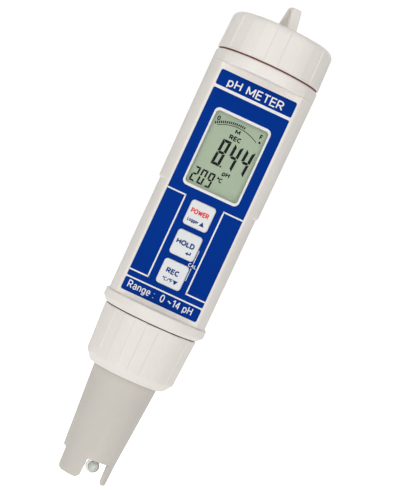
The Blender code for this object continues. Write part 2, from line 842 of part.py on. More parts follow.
def build_cap():
    phase = CAP_PANEL_PHASE_DEG
    bore = CAP_THREAD_ROOT
    rings = [
        panel_ring(bore, CAP_BOTTOM_Z, phase),
        panel_ring(BODY_RADIUS - 0.3, CAP_BOTTOM_Z, phase, PANEL_STEP),
        panel_ring(BODY_RADIUS, CAP_BOTTOM_Z + 0.3, phase, PANEL_STEP),
        panel_ring(BODY_RADIUS, CAP_TOP_Z - 2.5, phase, PANEL_STEP),
        panel_ring(BODY_RADIUS - 0.7, CAP_TOP_Z - 0.8, phase),
        panel_ring(BODY_RADIUS - 2.5, CAP_TOP_Z, phase),
        [(0, 0, CAP_TOP_Z)],
    ]
    inside = [
        [(0, 0, CAP_CEILING_Z)],
        panel_ring(bore, CAP_CEILING_Z, phase),
    ]
    shape = skin(inside + rings)
    cap = make_object("battery_cap", shape, housing_plastic())
    join(cap, "lanyard_loop", lanyard_loop())
    join(cap, "cap_thread", thread_ridge(bore, CAP_THREAD_CREST, -0.4, TOP_THREAD_Z + PITCH / 2))
    stub_profile = [(STUB_RADIUS, STUB_END_Z), (STUB_RADIUS, CAP_CEILING_Z + 0.5)]
    stub = turned(stub_profile, steps=SMALL_SEGMENTS, closed=False)
    join(cap, "disc_stub", stub)
    hole = turned([(1.1, 172.0), (1.1, 175.9)], steps=SMALL_SEGMENTS, closed=False)
    cut(cap, "stub_hole", hole)


def build_contact_disc():
    """The disc that closes the cells' circuit. Two tabs keep it from turning with the cap."""
    low, high = DISC_LOW_Z, DISC_HIGH_Z
    ring = turned([(DISC_BORE, low), (DISC_RADIUS, low), (DISC_RADIUS, high), (DISC_BORE, high)])
    disc = make_object("contact_disc", ring, black_plastic())
    for side, name in ((-1, "front"), (1, "back")):
        tab_y = sorted((side * 14.4, side * 15.9))
        join(disc, f"tab_{name}", box((-1.7, 1.7), tab_y, (163.0, low + 0.5)))
    for side, name in ((-1, "left"), (1, "right")):
        x_range = sorted((side * 3.4, side * 8.2))
        z_range = (CAP_CONTACT_LOW_Z, CAP_CONTACT_LOW_Z + 0.5)
        strip = box(x_range, (CELL_FRONT_Y - 2.5, CELL_BACK_Y + 2.5), z_range)
        make_object(f"cap_contact_{name}", strip, nickel())
    head = [(2.4, 171.55), (2.9, 171.85), (2.9, 172.35), (0.8, 172.35), (0.8, 175.4)]
    make_object("disc_screw", turned(head, steps=SMALL_SEGMENTS, closed=False), steel())


def build_seals():
    cap_seal = turned([(17.2, 161.77), (19.5, 161.77), (19.5, 162.23), (17.2, 162.23)])
    make_object("cap_seal", cap_seal, red_rubber())
    ring_seal = turned([(15.2, 61.47), (17.6, 61.47), (17.6, 61.83), (15.2, 61.83)])
    make_object("ring_seal", ring_seal, dark_rubber())
    plug_seal = turned(arc_profile((12.2, PLUG_SEAL_Z), 0.5, 0, 300, 5))
    make_object("plug_seal", plug_seal, dark_rubber())


def build_lock_ring():
    phase = RING_PANEL_PHASE_DEG
    rings = [
        panel_ring(12.8, RING_BOTTOM_Z, phase),
        panel_ring(RING_FOOT_RADIUS, RING_BOTTOM_Z, phase),
        panel_ring(RING_LOW_RADIUS, RING_CHAMFER_Z, phase),
        panel_ring(RING_LOW_RADIUS + 0.03, RING_CHAMFER_Z + 0.7, phase, PANEL_STEP),
        panel_ring(RING_TOP_RADIUS, RING_TOP_Z - 0.3, phase, PANEL_STEP),
        panel_ring(RING_TOP_RADIUS - 0.3, RING_TOP_Z, phase, PANEL_STEP),
        panel_ring(RING_THREAD_ROOT, RING_TOP_Z, phase),
        panel_ring(RING_THREAD_ROOT, 47.8, phase),
        panel_ring(15.2, 47.2, phase),
        panel_ring(15.2, 43.3, phase),
        panel_ring(12.8, 43.3, phase),
    ]
    ring = make_object("lock_ring", skin(rings, closed=True), housing_plastic())
    ridge = thread_ridge(RING_THREAD_ROOT, RING_THREAD_CREST, -0.9, LOW_THREAD_Z + PITCH / 2)
    join(ring, "ring_thread", ridge)


# ---------------------------------------------------------------- electrode


def tube_radius(z):
    """The electrode's outer radius, which tapers from the lock ring to its end."""
    share = (z - TUBE_END_Z) / (RING_BOTTOM_Z - TUBE_END_Z)
    return TUBE_END_RADIUS + (TUBE_TOP_RADIUS - TUBE_END_RADIUS) * share


def notch(first_deg, height):
    """A wedge with its edge on the axis, which clears one gap between two guard prongs."""
    reach = 15.0
    turns = [math.radians(first_deg + 60 * i / 2) for i in range(3)]
    rings = []
    for z in (PRONG_TIP_Z - 1, height):
        rings.append([(0, 0, z)] + [on_circle(reach, turn, z) for turn in turns])
    return skin(rings)


def build_electrode_tube():
    profile = [
        (TUBE_BORE_RADIUS + 0.3, PRONG_TIP_Z),
        (TUBE_END_RADIUS - 1.1, PRONG_TIP_Z),
        (TUBE_END_RADIUS - 0.5, PRONG_TIP_Z + 0.5),
        (TUBE_END_RADIUS - 0.3, PRONG_TIP_Z + 1.6),
        (TUBE_END_RADIUS, TUBE_END_Z),
        (tube_radius(RING_BOTTOM_Z), RING_BOTTOM_Z),
        (tube_radius(RING_BOTTOM_Z), SHOULDER_LOW_Z),
        (SHOULDER_RADIUS, SHOULDER_LOW_Z),
        (SHOULDER_RADIUS, SHOULDER_HIGH_Z),
        (COLLAR_RADIUS, SHOULDER_HIGH_Z),
        (COLLAR_RADIUS, COLLAR_TOP_Z),
        (COLLAR_BORE, COLLAR_TOP_Z),
        (COLLAR_BORE, COLLAR_FLOOR_Z),
        (TUBE_BORE_RADIUS, NARROW_BORE_Z),
        (TUBE_BORE_RADIUS, PRONG_TIP_Z + 0.3),
    ]
    tube = make_object("electrode_tube", turned(profile), electrode_plastic())
    for index in range(3):
        cut(tube, f"guard_notch_{index}", notch(120 * index, TUBE_END_Z))


def build_electrode_plug():
    """The closure on top of the electrode, with the rib that keeps the plug from turning."""
    profile = [
        (PLUG_SKIRT_RADIUS, 50.0),
        (PLUG_SKIRT_RADIUS, COLLAR_TOP_Z + 0.3),
        (COLLAR_RADIUS, COLLAR_TOP_Z + 0.3),
        (COLLAR_RADIUS, PLUG_SEAL_Z - 0.8),
        (PLUG_GROOVE_RADIUS, PLUG_SEAL_Z - 0.8),
        (PLUG_GROOVE_RADIUS, PLUG_SEAL_Z + 0.8),
        (COLLAR_RADIUS, PLUG_SEAL_Z + 0.8),
        (COLLAR_RADIUS, PLUG_TOP_Z - 0.4),
        (COLLAR_RADIUS - 0.4, PLUG_TOP_Z),
    ]
    plug = make_object("electrode_plug", turned(profile, closed=False), black_plastic())
    join(plug, "plug_rib", box((-1.2, 1.2), (11.0, 13.55), (58.4, 59.9)))
    base = turned([(5.5, 60.2), (5.5, 60.9)], steps=24, closed=False)
    pins = make_object("connector_pins", base, gold())
    for index, centre in enumerate(pin_centres()):
        pin = [(PIN_RADIUS, 60.4), (PIN_RADIUS, 64.6), (0, 65.1)]
        join(pins, f"pin_{index}", turned(pin, centre, 8, closed=False))


def build_glass_electrode():
    """A blown glass stem, open at its top, that ends in the thin pH-sensitive bulb."""
    centre = (BULB_X, 0)
    inner = BULB_RADIUS - BULB_WALL
    outer_end = math.degrees(math.acos(STEM_RADIUS / BULB_RADIUS))
    inner_end = math.degrees(math.acos(STEM_BORE / inner))
    outside = arc_profile((0, BULB_Z), BULB_RADIUS, -90, outer_end, 7)
    inside = arc_profile((0, BULB_Z), inner, -90, inner_end, 6)
    outside[0] = (0, outside[0][1])
    inside[0] = (0, inside[0][1])
    stem = [(STEM_RADIUS, STEM_TOP_Z), (STEM_BORE, STEM_TOP_Z)]
    profile = outside + stem + inside[::-1]
    shape = turned(profile, centre, 18, closed=False)
    make_object("glass_electrode", shape, clear_glass())
    wire = turned([(0, 5.0), (0.35, 5.3), (0.35, STEM_TOP_Z)], centre, 6, closed=False)
    make_object("sensing_wire", wire, silver_wire())


def build_tip():
    low, high = 8.1, 12.2
    disc = turned([(8.0, low), (8.0, high)], closed=False)
    tip = make_object("tip_plug", disc, electrode_plastic())
    holes = {
        "bulb": (STEM_RADIUS, (BULB_X, 0)),
        "sensor": (SENSOR_RADIUS, (SENSOR_X, SENSOR_Y)),
        "junction": (JUNCTION_RADIUS, (JUNCTION_X, JUNCTION_Y)),
    }
    for name, (radius, centre) in holes.items():
        span = [(radius + TIP_HOLE_GAP, low - 1), (radius + TIP_HOLE_GAP, high + 1)]
        cut(tip, f"{name}_hole", turned(span, centre, 16, closed=False))
    sensor = arc_profile((0, 5.0), SENSOR_RADIUS, -90, 0, 4) + [(SENSOR_RADIUS, 30.0)]
    sensor[0] = (0, sensor[0][1])
    sensor_centre = (SENSOR_X, SENSOR_Y)
    shape = turned(sensor, sensor_centre, SMALL_SEGMENTS, closed=False)
    make_object("temperature_sensor", shape, steel())
    junction = [(JUNCTION_RADIUS, 7.7), (JUNCTION_RADIUS, 14.0)]
    shape = turned(junction, (JUNCTION_X, JUNCTION_Y), SMALL_SEGMENTS, closed=False)
    make_object("reference_junction", shape, porous_ceramic())
    wire = turned([(0, 15.0), (0.35, 15.3), (0.35, STEM_TOP_Z)], (0, -5.5), 6, closed=False)
    make_object("reference_wire", wire, silver_wire())


# ---------------------------------------------------------------- assembly


def moving_groups():
    """Empties on the joint axes, and the pieces that move with each."""
    disc = ["contact_disc", "cap_contact_left", "cap_contact_right"]
    electrode = ["electrode_tube", "electrode_plug", "connector_pins", "plug_seal", "tip_plug"]
    electrode += ["glass_electrode", "sensing_wire", "temperature_sensor"]
    electrode += ["reference_junction", "reference_wire"]
    return {
        "cap_axis": ["battery_cap", "disc_screw"],
        "disc_axis": disc,
        "ring_axis": ["lock_ring"],
        "electrode_axis": electrode,
    }


def parent_moving_pieces():
    for name, pieces in moving_groups().items():
        empty = bpy.data.objects.new(name, None)
        bpy.context.collection.objects.link(empty)
        for piece in pieces:
            bpy.data.objects[piece].parent = empty


def main():
    clear_scene()
    build_housing()
    build_overlay()
    build_display()
    build_keys()
    build_board()
    build_chips()
    build_wiring()
    build_socket()
    build_cells()
    build_holder()
    build_base_contacts()
    build_springs()
    build_cap()
    build_contact_disc()
    build_seals()
    build_lock_ring()
    build_electrode_tube()
    build_electrode_plug()
    build_glass_electrode()
    build_tip()
    parent_moving_pieces()


main()
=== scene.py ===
"""The visual model of a pen pH meter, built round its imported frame.

Lengths are in millimetres until mesh_of() turns them into metres. The meter stands on +Z with its
flat front towards -Y. Azimuths are counted from the front towards +X.
"""

import json
import math

import bmesh
import bpy
from mathutils import Matrix, Vector


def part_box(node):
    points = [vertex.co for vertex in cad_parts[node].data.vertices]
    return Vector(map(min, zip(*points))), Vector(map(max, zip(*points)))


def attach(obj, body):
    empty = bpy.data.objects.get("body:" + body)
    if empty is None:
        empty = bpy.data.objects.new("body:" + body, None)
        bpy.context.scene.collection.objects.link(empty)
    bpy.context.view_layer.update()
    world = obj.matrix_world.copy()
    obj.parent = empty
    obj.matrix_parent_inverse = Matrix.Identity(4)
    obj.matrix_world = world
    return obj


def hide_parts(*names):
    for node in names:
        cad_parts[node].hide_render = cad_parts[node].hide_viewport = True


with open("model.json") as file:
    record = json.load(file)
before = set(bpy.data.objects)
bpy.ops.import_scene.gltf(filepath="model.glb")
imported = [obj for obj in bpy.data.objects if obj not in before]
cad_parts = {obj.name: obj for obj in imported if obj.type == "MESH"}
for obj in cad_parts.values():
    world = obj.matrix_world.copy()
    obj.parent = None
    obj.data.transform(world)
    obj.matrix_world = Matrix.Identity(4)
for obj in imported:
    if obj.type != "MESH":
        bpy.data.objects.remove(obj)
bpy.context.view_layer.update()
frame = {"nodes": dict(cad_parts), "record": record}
SLOT_OF_NODE = {part["node"]: part["material_slot"] for part in frame["record"]["subparts"]}

MM = 0.001
ROUND = 120
BEND_STEPS = 5
SHARP_DEG = 32
# Strength of the painted glow of the bulb's filling, which lifts it out of the tube's shade.
FILLING_GLOW = 0.2
# Strength of the painted glow of the display's layer, which lifts it out of its window's shade.
LIQUID_GLOW = 0.12

# Housing, whose two ends are read from the frame
BODY_RADIUS = 19.97
STEP_RADIUS = 19.7
GRIP_RADIUS = 19.02
FLANGE_RADIUS = 19.85
CAVITY_RADIUS = 17.0
BODY_BOTTOM_Z = 61.9
FLANGE_LOW_Z = 63.6
FLANGE_HIGH_Z = 66.5
FLAT_BOTTOM_Z = 66.9
STEP_Z = 110.95
FLAT_TOP_Z = 156.9
BODY_TOP_Z = 161.72
FRONT_Y = -13.5
FLAT_HALF = 15.05
FRONT_FILLET = 0.95
FILLET_TURN_DEG = 56.0
SIDE_END_DEG = 85.0
INNER_FRONT_Y = -11.3
INNER_FLAT_HALF = 13.4
CAVITY_TOP_Z = 157.4
CAVITY_BOTTOM_Z = 66.2
TOP_BORE_END_Z = 159.6
LOW_BORE_END_Z = 64.7
CORNER_FADE = 2.4
NECK_LIMIT = 18.0
BOSS_RADIUS = 2.1
BOSS_GAP = 0.3
SCREW_HOLE_RADIUS = 1.2
SCREW_HOLE_END_Y = -12.2
TAB_SLOT_HALF = 2.1
TAB_SLOT_RADII = (12.0, 16.2)
TAB_SLOT_Z = (159.9, 173.0)
KEYWAY_HALF = 1.6
KEYWAY_RADII = (11.0, 13.9)
KEYWAY_Z = (46.0, 60.6)

# The cove at both ends of the flat, as (distance from the end, shift of the front along Y)
COVE = ((0.55, 0.0), (0.28, -0.06), (0.12, -0.22), (0.04, -0.5))

# Threads
PITCH = 3.0
THREAD_BASE = 1.5
THREAD_TIP = 0.7
THREAD_TURNS = 1.75
THREAD_STEPS = 72
THREAD_SUNK = 0.3
TOP_NECK_ROOT = 16.9
TOP_NECK_CREST = 17.7
TOP_NECK_BORE = 15.3
CAP_THREAD_ROOT = 18.2
CAP_THREAD_CREST = 17.3
TOP_THREAD_Z = 165.2
LOW_NECK_ROOT = 14.9
LOW_NECK_CREST = 15.6
LOW_NECK_BORE = 12.9
RING_THREAD_ROOT = 16.0
RING_THREAD_CREST = 15.25
LOW_THREAD_Z = 50.0

# Panels round the cap and the lock ring
PANELS = 24
PANEL_STEP = 0.3
CAP_PANEL_PHASE = -7.4
RING_PANEL_PHASE = -1.6

# Printed front
RECESS_FLOOR_Y = -12.8
RECESS_MARGIN = 0.03
EDGE_FLARE = 0.05
WINDOW_WIDTH = 20.3
WINDOW_HEIGHT = 27.95
WINDOW_RAISE = 0.1
OPENING_MARGIN = 0.3
KEY_SIDE = 9.45
KEY_FLANGE_SIDE = 10.8
KEY_GAP = 0.08
KEY_CROWN = 0.12
PRINT_RISE = 0.03
PRINT_DEPTH = 0.08

# Lanyard loop
LOOP_TURN_DEG = 15.5
LOOP_HALF_WIDTH = 1.85
LOOP_THICKNESS = 1.6

# Electrode
SHOULDER_RADIUS = 14.8
SHOULDER_LOW_Z = 43.6
SHOULDER_HIGH_Z = 46.6
COLLAR_RADIUS = 12.5
COLLAR_BORE = 10.4
COLLAR_TOP_Z = 55.0
TUBE_TOP_RADIUS = 12.46
TUBE_END_RADIUS = 10.18
TUBE_BORE_RADIUS = 8.3
TUBE_END_Z = 8.2
PRONG_ROUND = 3.2
PRONG_ROUND_HEIGHT = 2.3
BULB_X = 2.8
BULB_Z = 4.85
BULB_RADIUS = 2.6
CORE_RADIUS = 2.07
CORE_X = 3.27
STEM_RADIUS = 2.0


def span(node):
    """Lowest and highest corner of a node of the frame, in millimetres."""
    low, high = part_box(node)
    return low / MM, high / MM


def middle_z(low, high):
    return (low.z + high.z) / 2


def quarter_bend(steps):
    """Pairs of 1 - cosine and 1 - sine from the start of a quarter turn to its end."""
    turns = [math.pi / 2 * i / steps for i in range(steps + 1)]
    return [(1 - math.cos(turn), 1 - math.sin(turn)) for turn in turns]


# ---------------------------------------------------------------- outlines and skins


def on_circle(radius, azimuth, z, centre=(0, 0)):
    """A point on a level circle, with the azimuth in radians."""
    x = centre[0] + radius * math.sin(azimuth)
    y = centre[1] - radius * math.cos(azimuth)
    return (x, y, z)


def circle(radius, z, centre=(0, 0), steps=ROUND):
    """A level ring of points, or one point where the radius is nothing."""
    if radius == 0:
        return [(centre[0], centre[1], z)]
    return [on_circle(radius, math.tau * i / steps, z, centre) for i in range(steps)]


def skin(rings, closed=False):
    """Points and faces through rings of equal count. A ring of one point is a pole."""
    points = []
    starts = []
    for ring in rings:
        starts.append(len(points))
        points.extend(ring)
    faces = []
    pairs = list(zip(range(len(rings) - 1), range(1, len(rings))))
    if closed:
        pairs.append((len(rings) - 1, 0))
    for low, high in pairs:
        count = max(len(rings[low]), len(rings[high]))
        for i in range(count):
            k = (i + 1) % count
            corners = [starts[low] + i, starts[low] + k, starts[high] + k, starts[high] + i]
            if len(rings[low]) == 1:
                corners = [starts[low], corners[2], corners[3]]
            elif len(rings[high]) == 1:
                corners = [corners[0], corners[1], starts[high]]
            faces.append(corners)
    if not closed:
        for start, ring in ((starts[0], rings[0]), (starts[-1], rings[-1])):
            if len(ring) > 1:
                faces.append([start + i for i in range(len(ring))])
    return points, faces


def softened(corners, steps=BEND_STEPS, closed=False):
    """A path whose corners are rounded. Each corner is (a, b, radius), and a radius of 0 is sharp."""
    path = []
    count = len(corners)
    for i, (a, b, radius) in enumerate(corners):
        here = Vector((a, b))
        if radius == 0 or (not closed and i in (0, count - 1)):
            path.append((a, b))
            continue
        back = Vector(corners[i - 1][:2]) - here
        ahead = Vector(corners[(i + 1) % count][:2]) - here
        angle = back.angle(ahead)
        if angle > math.pi - 0.02:
            path.append((a, b))
            continue
        reach = min(radius / math.tan(angle / 2), back.length * 0.48, ahead.length * 0.48)
        radius = reach * math.tan(angle / 2)
        back.normalize()
        ahead.normalize()
        centre = here + (back + ahead).normalized() * (radius / math.sin(angle / 2))
        first = here + back * reach - centre
        last = here + ahead * reach - centre
        sweep = first.angle(last)
        for k in range(steps + 1):
            share = k / steps
            part = first * math.sin((1 - share) * sweep) + last * math.sin(share * sweep)
            spot = centre + part / math.sin(sweep)
            path.append((spot.x, spot.y))
    return path


def turned(profile, centre=(0, 0), steps=ROUND, closed=True):
    """A turned shape from (radius, z) pairs. A closed profile makes a hollow ring."""
    return skin([circle(r, z, centre, steps) for r, z in profile], closed)


def facing_front(shape, centre):
    """Turns a shape made along +Z so that its heights run along Y, round centre (x, z)."""
    points, faces = shape
    return [(centre[0] + x, z, centre[1] + y) for x, y, z in points], faces


def pin_along_y(profile, centre, steps=48):
    return facing_front(turned(profile, steps=steps, closed=False), centre)


def rounded_outline(half_width, half_height, corner, y, centre, steps=8):
    """A rounded rectangle in a plane of constant y, round centre (x, z)."""
    outline = []
    quarters = ((1, 1), (-1, 1), (-1, -1), (1, -1))
    for quarter, (sx, sz) in enumerate(quarters):
        for i in range(steps + 1):
            turn = math.pi / 2 * (quarter + i / steps)
            x = centre[0] + sx * (half_width - corner) + corner * math.cos(turn)
            z = centre[1] + sz * (half_height - corner) + corner * math.sin(turn)
            outline.append((x, y, z))
    return outline


def plate(half_width, half_height, corner, y_range, centre, edge):
    """A flat plate that faces the front, with a rounded front edge."""
    back_y, front_y = max(y_range), min(y_range)
    rings = [rounded_outline(half_width, half_height, corner, back_y, centre)]
    for inward, backward in quarter_bend(3):
        inset = edge * inward
        size = (half_width - inset, half_height - inset, max(corner - inset, 0.05))
        rings.append(rounded_outline(*size, front_y + edge * backward, centre))
    return skin(rings)


def flared_cutter(half_width, half_height, corner, floor_y, face_y, centre, flare=EDGE_FLARE):
    """A cutter whose mouth opens in a small curve, so that it leaves a rounded edge."""
    sections = [(floor_y, 0.0)]
    sections += [(face_y + flare * backward, flare * outward) for outward, backward in quarter_bend(3)]
    sections.append((face_y - 2.0, flare + 0.01))
    rings = []
    for y, grow in sections:
        size = (half_width + grow, half_height + grow, corner + grow)
        rings.append(rounded_outline(*size, y, centre))
    return skin(rings)


def prism(outline, y_range):
    """A plate of any outline, given as (x, z) pairs."""
    return skin([[(x, y, z) for x, z in outline] for y in y_range])


def block(x_range, y_range, z_range):
    outline = [(x_range[0], z_range[0]), (x_range[1], z_range[0])]
    outline += [(x_range[1], z_range[1]), (x_range[0], z_range[1])]
    return prism(outline, y_range)


def merged(shapes):
    """Several shapes as one."""
    points = []
    faces = []
    for some_points, some_faces in shapes:
        start = len(points)
        points.extend(some_points)
        faces.extend([start + i for i in face] for face in some_faces)
    return points, faces


def thread_ridge(wall, crest, first_turn, start_z):
    """A helical ridge that grows from a wall radius to its crest and fades out at both ends."""
    count = round(THREAD_TURNS * THREAD_STEPS)
    fade_steps = THREAD_STEPS // 12
    sunk = wall - math.copysign(THREAD_SUNK, crest - wall)
    rings = []
    for i in range(count + 1):
        turn = first_turn + i / THREAD_STEPS
        fade = min(1, (i + 1) / fade_steps, (count + 1 - i) / fade_steps)
        tip = wall + (crest - wall) * math.sin(fade * math.pi / 2)
        z = start_z + PITCH * turn
        section = (
            (sunk, z - THREAD_BASE / 2),
            (wall + (tip - wall) * 0.8, z - THREAD_TIP / 2 - 0.08),
            (tip, z - THREAD_TIP / 2 + 0.1),
            (tip, z + THREAD_TIP / 2 - 0.1),
            (wall + (tip - wall) * 0.8, z + THREAD_TIP / 2 + 0.08),
            (sunk, z + THREAD_BASE / 2),
        )
        rings.append([on_circle(r, math.tau * turn, height) for r, height in section])
    return skin(rings)


# ---------------------------------------------------------------- objects


def mesh_of(name, shape):
    points, faces = shape
    mesh = bpy.data.meshes.new(name)
    mesh.from_pydata([Vector(p) * MM for p in points], [], faces)
    work = bmesh.new()
    work.from_mesh(mesh)
    bmesh.ops.recalc_face_normals(work, faces=work.faces)
    work.to_mesh(mesh)
    work.free()
    return mesh


def applied(made, tools):
    """Applies Boolean tools, each ("DIFFERENCE" or "UNION", shape), and removes them."""
    helpers = []
    for operation, shape in tools:
        helper = bpy.data.objects.new("helper", mesh_of("helper", shape))
        bpy.context.collection.objects.link(helper)
        helpers.append(helper)
        modifier = made.modifiers.new(operation, "BOOLEAN")
        modifier.operation = operation
        modifier.solver = "EXACT"
        modifier.object = helper
    bpy.context.view_layer.update()
    graph = bpy.context.evaluated_depsgraph_get()
    mesh = bpy.data.meshes.new_from_object(made.evaluated_get(graph))
    made.modifiers.clear()
    made.data = mesh
    for helper in helpers:
        bpy.data.objects.remove(helper)


def piece(name, shape, body, material, tools=()):
    """One visible piece that rides on a body of the frame, with clean shading."""
    made = bpy.data.objects.new(name, mesh_of(name, shape))
    bpy.context.collection.objects.link(made)
    if tools:
        applied(made, tools)
    made.data.shade_smooth()
    made.data.set_sharp_from_angle(angle=math.radians(SHARP_DEG))
    made.data.materials.clear()
    made.data.materials.append(material)
    weigh = made.modifiers.new("face weights", "WEIGHTED_NORMAL")
    weigh.keep_sharp = True
    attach(made, body)
    return made


def stand_in(name, shape, body, node, tools=()):
    """A finer piece in the place of one node of the frame, with the finish of the node's slot."""
    slot = SLOT_OF_NODE[node]
    made = piece(name, shape, body, FINISH_OF_SLOT[slot], tools)
    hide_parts(node)


# ---------------------------------------------------------------- materials


class Nodes:
    """The nodes of one tree."""

    def __init__(self, tree):
        self.tree = tree

    def node(self, kind, inputs=(), **settings):
        """A node with its settings and its inputs, given by name or number."""
        made = self.tree.nodes.new(kind)
        for key, value in settings.items():
            setattr(made, key, value)
        for key, value in dict(inputs).items():
            self.feed(made.inputs[key], value)
        return made

    def feed(self, socket, value):
        """Links a socket to an input, or gives the input a value."""
        if isinstance(value, bpy.types.NodeSocket):
            self.tree.links.new(value, socket)
        elif isinstance(value, tuple) and socket.type == "RGBA":
            socket.default_value = (*value[:3], 1.0)
        else:
            socket.default_value = value

    def ranged(self, value, low, high, out_low, out_high):
        inputs = {"Value": value, "From Min": low, "From Max": high, "To Min": out_low, "To Max": out_high}
        return self.node("ShaderNodeMapRange", inputs).outputs["Result"]

    def maths(self, operation, a, b):
        return self.node("ShaderNodeMath", {0: a, 1: b}, operation=operation).outputs["Value"]

    def mixed(self, share, a, b):
        inputs = {"Factor": share, "A": a, "B": b}
        return self.node("ShaderNodeMix", inputs, data_type="RGBA").outputs["Result"]


class Shader(Nodes):
    """A small builder for one node material, in millimetres of object space."""

    def __init__(self, name):
        self.material = bpy.data.materials.new(name)
        self.material.use_nodes = True
        super().__init__(self.material.node_tree)
        self.surface = self.tree.nodes["Principled BSDF"]
        self.output = self.tree.nodes["Material Output"]
        self.place = self.node("ShaderNodeTexCoord").outputs["Object"]
        self.place = self.stretched((1 / MM, 1 / MM, 1 / MM))

    def set(self, name, value):
        """Sets or links one input of the surface."""
        self.feed(self.surface.inputs[name], value)

    def stretched(self, scale):
        inputs = {"Vector": self.place, "Scale": scale}
        return self.node("ShaderNodeMapping", inputs).outputs["Vector"]

    def noise(self, per_mm, detail=2.0, place=None, rough=0.5):
        inputs = {"Vector": place or self.place, "Scale": per_mm, "Detail": detail, "Roughness": rough}
        return self.node("ShaderNodeTexNoise", inputs).outputs["Fac"]

    def cells(self, per_mm, feature="F1"):
        inputs = {"Vector": self.place, "Scale": per_mm}
        return self.node("ShaderNodeTexVoronoi", inputs, feature=feature).outputs["Distance"]

    def bump(self, height, depth_mm, strength=1.0, under=None):
        inputs = {"Strength": strength, "Distance": depth_mm * MM, "Height": height}
        if under:
            inputs["Normal"] = under
        return self.node("ShaderNodeBump", inputs).outputs["Normal"]

    def separate(self):
        return self.node("ShaderNodeSeparateXYZ", {"Vector": self.place}).outputs

    def layered(self, share, below, above):
        """One shader over another. A share of 1 shows only the upper one."""
        return self.node("ShaderNodeMixShader", {0: share, 1: below, 2: above}).outputs[0]

    def end_with(self, shader):
        """Makes a shader the whole surface, in place of the usual one."""
        self.tree.nodes.remove(self.surface)
        self.feed(self.output.inputs["Surface"], shader)


def scaled(colour, factor):
    return tuple(min(1.0, c * factor) for c in colour[:3])


def plastic(name, colour, roughness, grain=2.5, depth=0.006, vary=0.02, wear=0.4, corner_shade_strength=0.15):
    """Moulded plastic: a fine spark-eroded grain, slow changes of tone, edges rubbed a little smoother and
    paler, and painted shade that darkens the colour in corners and hollows where ambient occlusion finds the
    surface hidden."""
    s = Shader(name)
    slow = s.noise(0.045, 3.0)
    tone = s.mixed(s.ranged(slow, 0.3, 0.7, 0.0, 1.0), scaled(colour, 1 - vary), scaled(colour, 1 + vary))
    specks = s.noise(1.7, 4.0, rough=0.7)
    tone = s.mixed(s.ranged(specks, 0.60, 0.78, 0.0, 0.25), tone, scaled(colour, 0.82))
    # Painted shade: ambient occlusion darkens the colour towards a darker copy of itself in corners and
    # hollows.
    corner = s.node("ShaderNodeAmbientOcclusion", {"Distance": 1.2 * MM}, samples=4)
    corner_shade = s.ranged(corner.outputs["AO"], 0.25, 0.95, corner_shade_strength, 0.0)
    tone = s.mixed(corner_shade, tone, scaled(colour, 0.55))
    edge = s.node("ShaderNodeNewGeometry")
    rub = s.ranged(edge.outputs["Pointiness"], 0.515, 0.56, 0.0, wear)
    rub = s.maths("MULTIPLY", rub, s.ranged(s.noise(0.6, 4.0), 0.35, 0.65, 0.2, 1.0))
    tone = s.mixed(rub, tone, scaled(colour, 1.12))
    s.set("Base Color", tone)
    gloss = s.ranged(s.noise(0.12, 4.0), 0.3, 0.7, roughness - 0.05, roughness + 0.06)
    s.set("Roughness", s.maths("SUBTRACT", gloss, s.maths("MULTIPLY", rub, 0.12)))
    fine = s.noise(grain, 3.0, rough=0.6)
    sink = s.noise(0.05, 1.0)
    under = s.bump(sink, 0.12, 0.35)
    s.set("Normal", s.bump(fine, depth, 0.7, under))
    s.set("Specular IOR Level", 0.45)
    return s.material


def rubber(name, colour, roughness=0.62):
    """Rubber with a dull bloom and small pits."""
    s = Shader(name)
    bloom = s.ranged(s.noise(0.35, 5.0, rough=0.65), 0.4, 0.75, 0.0, 0.5)
    s.set("Base Color", s.mixed(bloom, colour, scaled(colour, 1.7)))
    s.set("Roughness", s.ranged(s.noise(0.8, 3.0), 0.3, 0.7, roughness - 0.1, roughness + 0.15))
    pits = s.cells(2.2)
    s.set("Normal", s.bump(s.ranged(pits, 0.0, 0.35, 0.0, 1.0), 0.02, 0.6))
    return s.material


def metal(name, colour, roughness, brush=(0.6, 0.6, 14.0), tarnish=0.25):
    """Metal with a drawn or brushed grain and uneven tarnish."""
    s = Shader(name)
    streaks = s.noise(1.6, 4.0, s.stretched(brush), 0.65)
    patches = s.ranged(s.noise(0.3, 5.0, rough=0.6), 0.42, 0.75, 0.0, tarnish)
    tone = s.mixed(s.ranged(streaks, 0.3, 0.7, 0.0, 1.0), scaled(colour, 0.86), scaled(colour, 1.06))
    s.set("Base Color", s.mixed(patches, tone, scaled(colour, 0.5)))
    s.set("Metallic", 1.0)
    spread = s.ranged(streaks, 0.3, 0.7, roughness - 0.07, roughness + 0.1)
    s.set("Roughness", s.maths("ADD", spread, s.maths("MULTIPLY", patches, 0.5)))
    s.set("Normal", s.bump(streaks, 0.01, 0.5))
    return s.material


def film(name, colour):
    """Printed film with a satin leather grain and faint rub marks."""
    s = Shader(name)
    slow = s.ranged(s.noise(0.05, 3.0), 0.3, 0.7, 0.0, 1.0)
    tone = s.mixed(slow, scaled(colour, 0.94), scaled(colour, 1.06))
    marks = s.noise(0.5, 6.0, s.stretched((1.0, 1.0, 0.25)), 0.7)
    haze = s.ranged(marks, 0.52, 0.8, 0.0, 0.03)
    s.set("Base Color", s.mixed(haze, tone, (0.03, 0.12, 0.45)))
    s.set("Roughness", s.ranged(marks, 0.35, 0.75, 0.34, 0.5))
    grain = s.cells(3.2, feature="SMOOTH_F1")
    s.set("Normal", s.bump(grain, 0.012, 0.5))
    s.set("Specular IOR Level", 0.03)
    return s.material


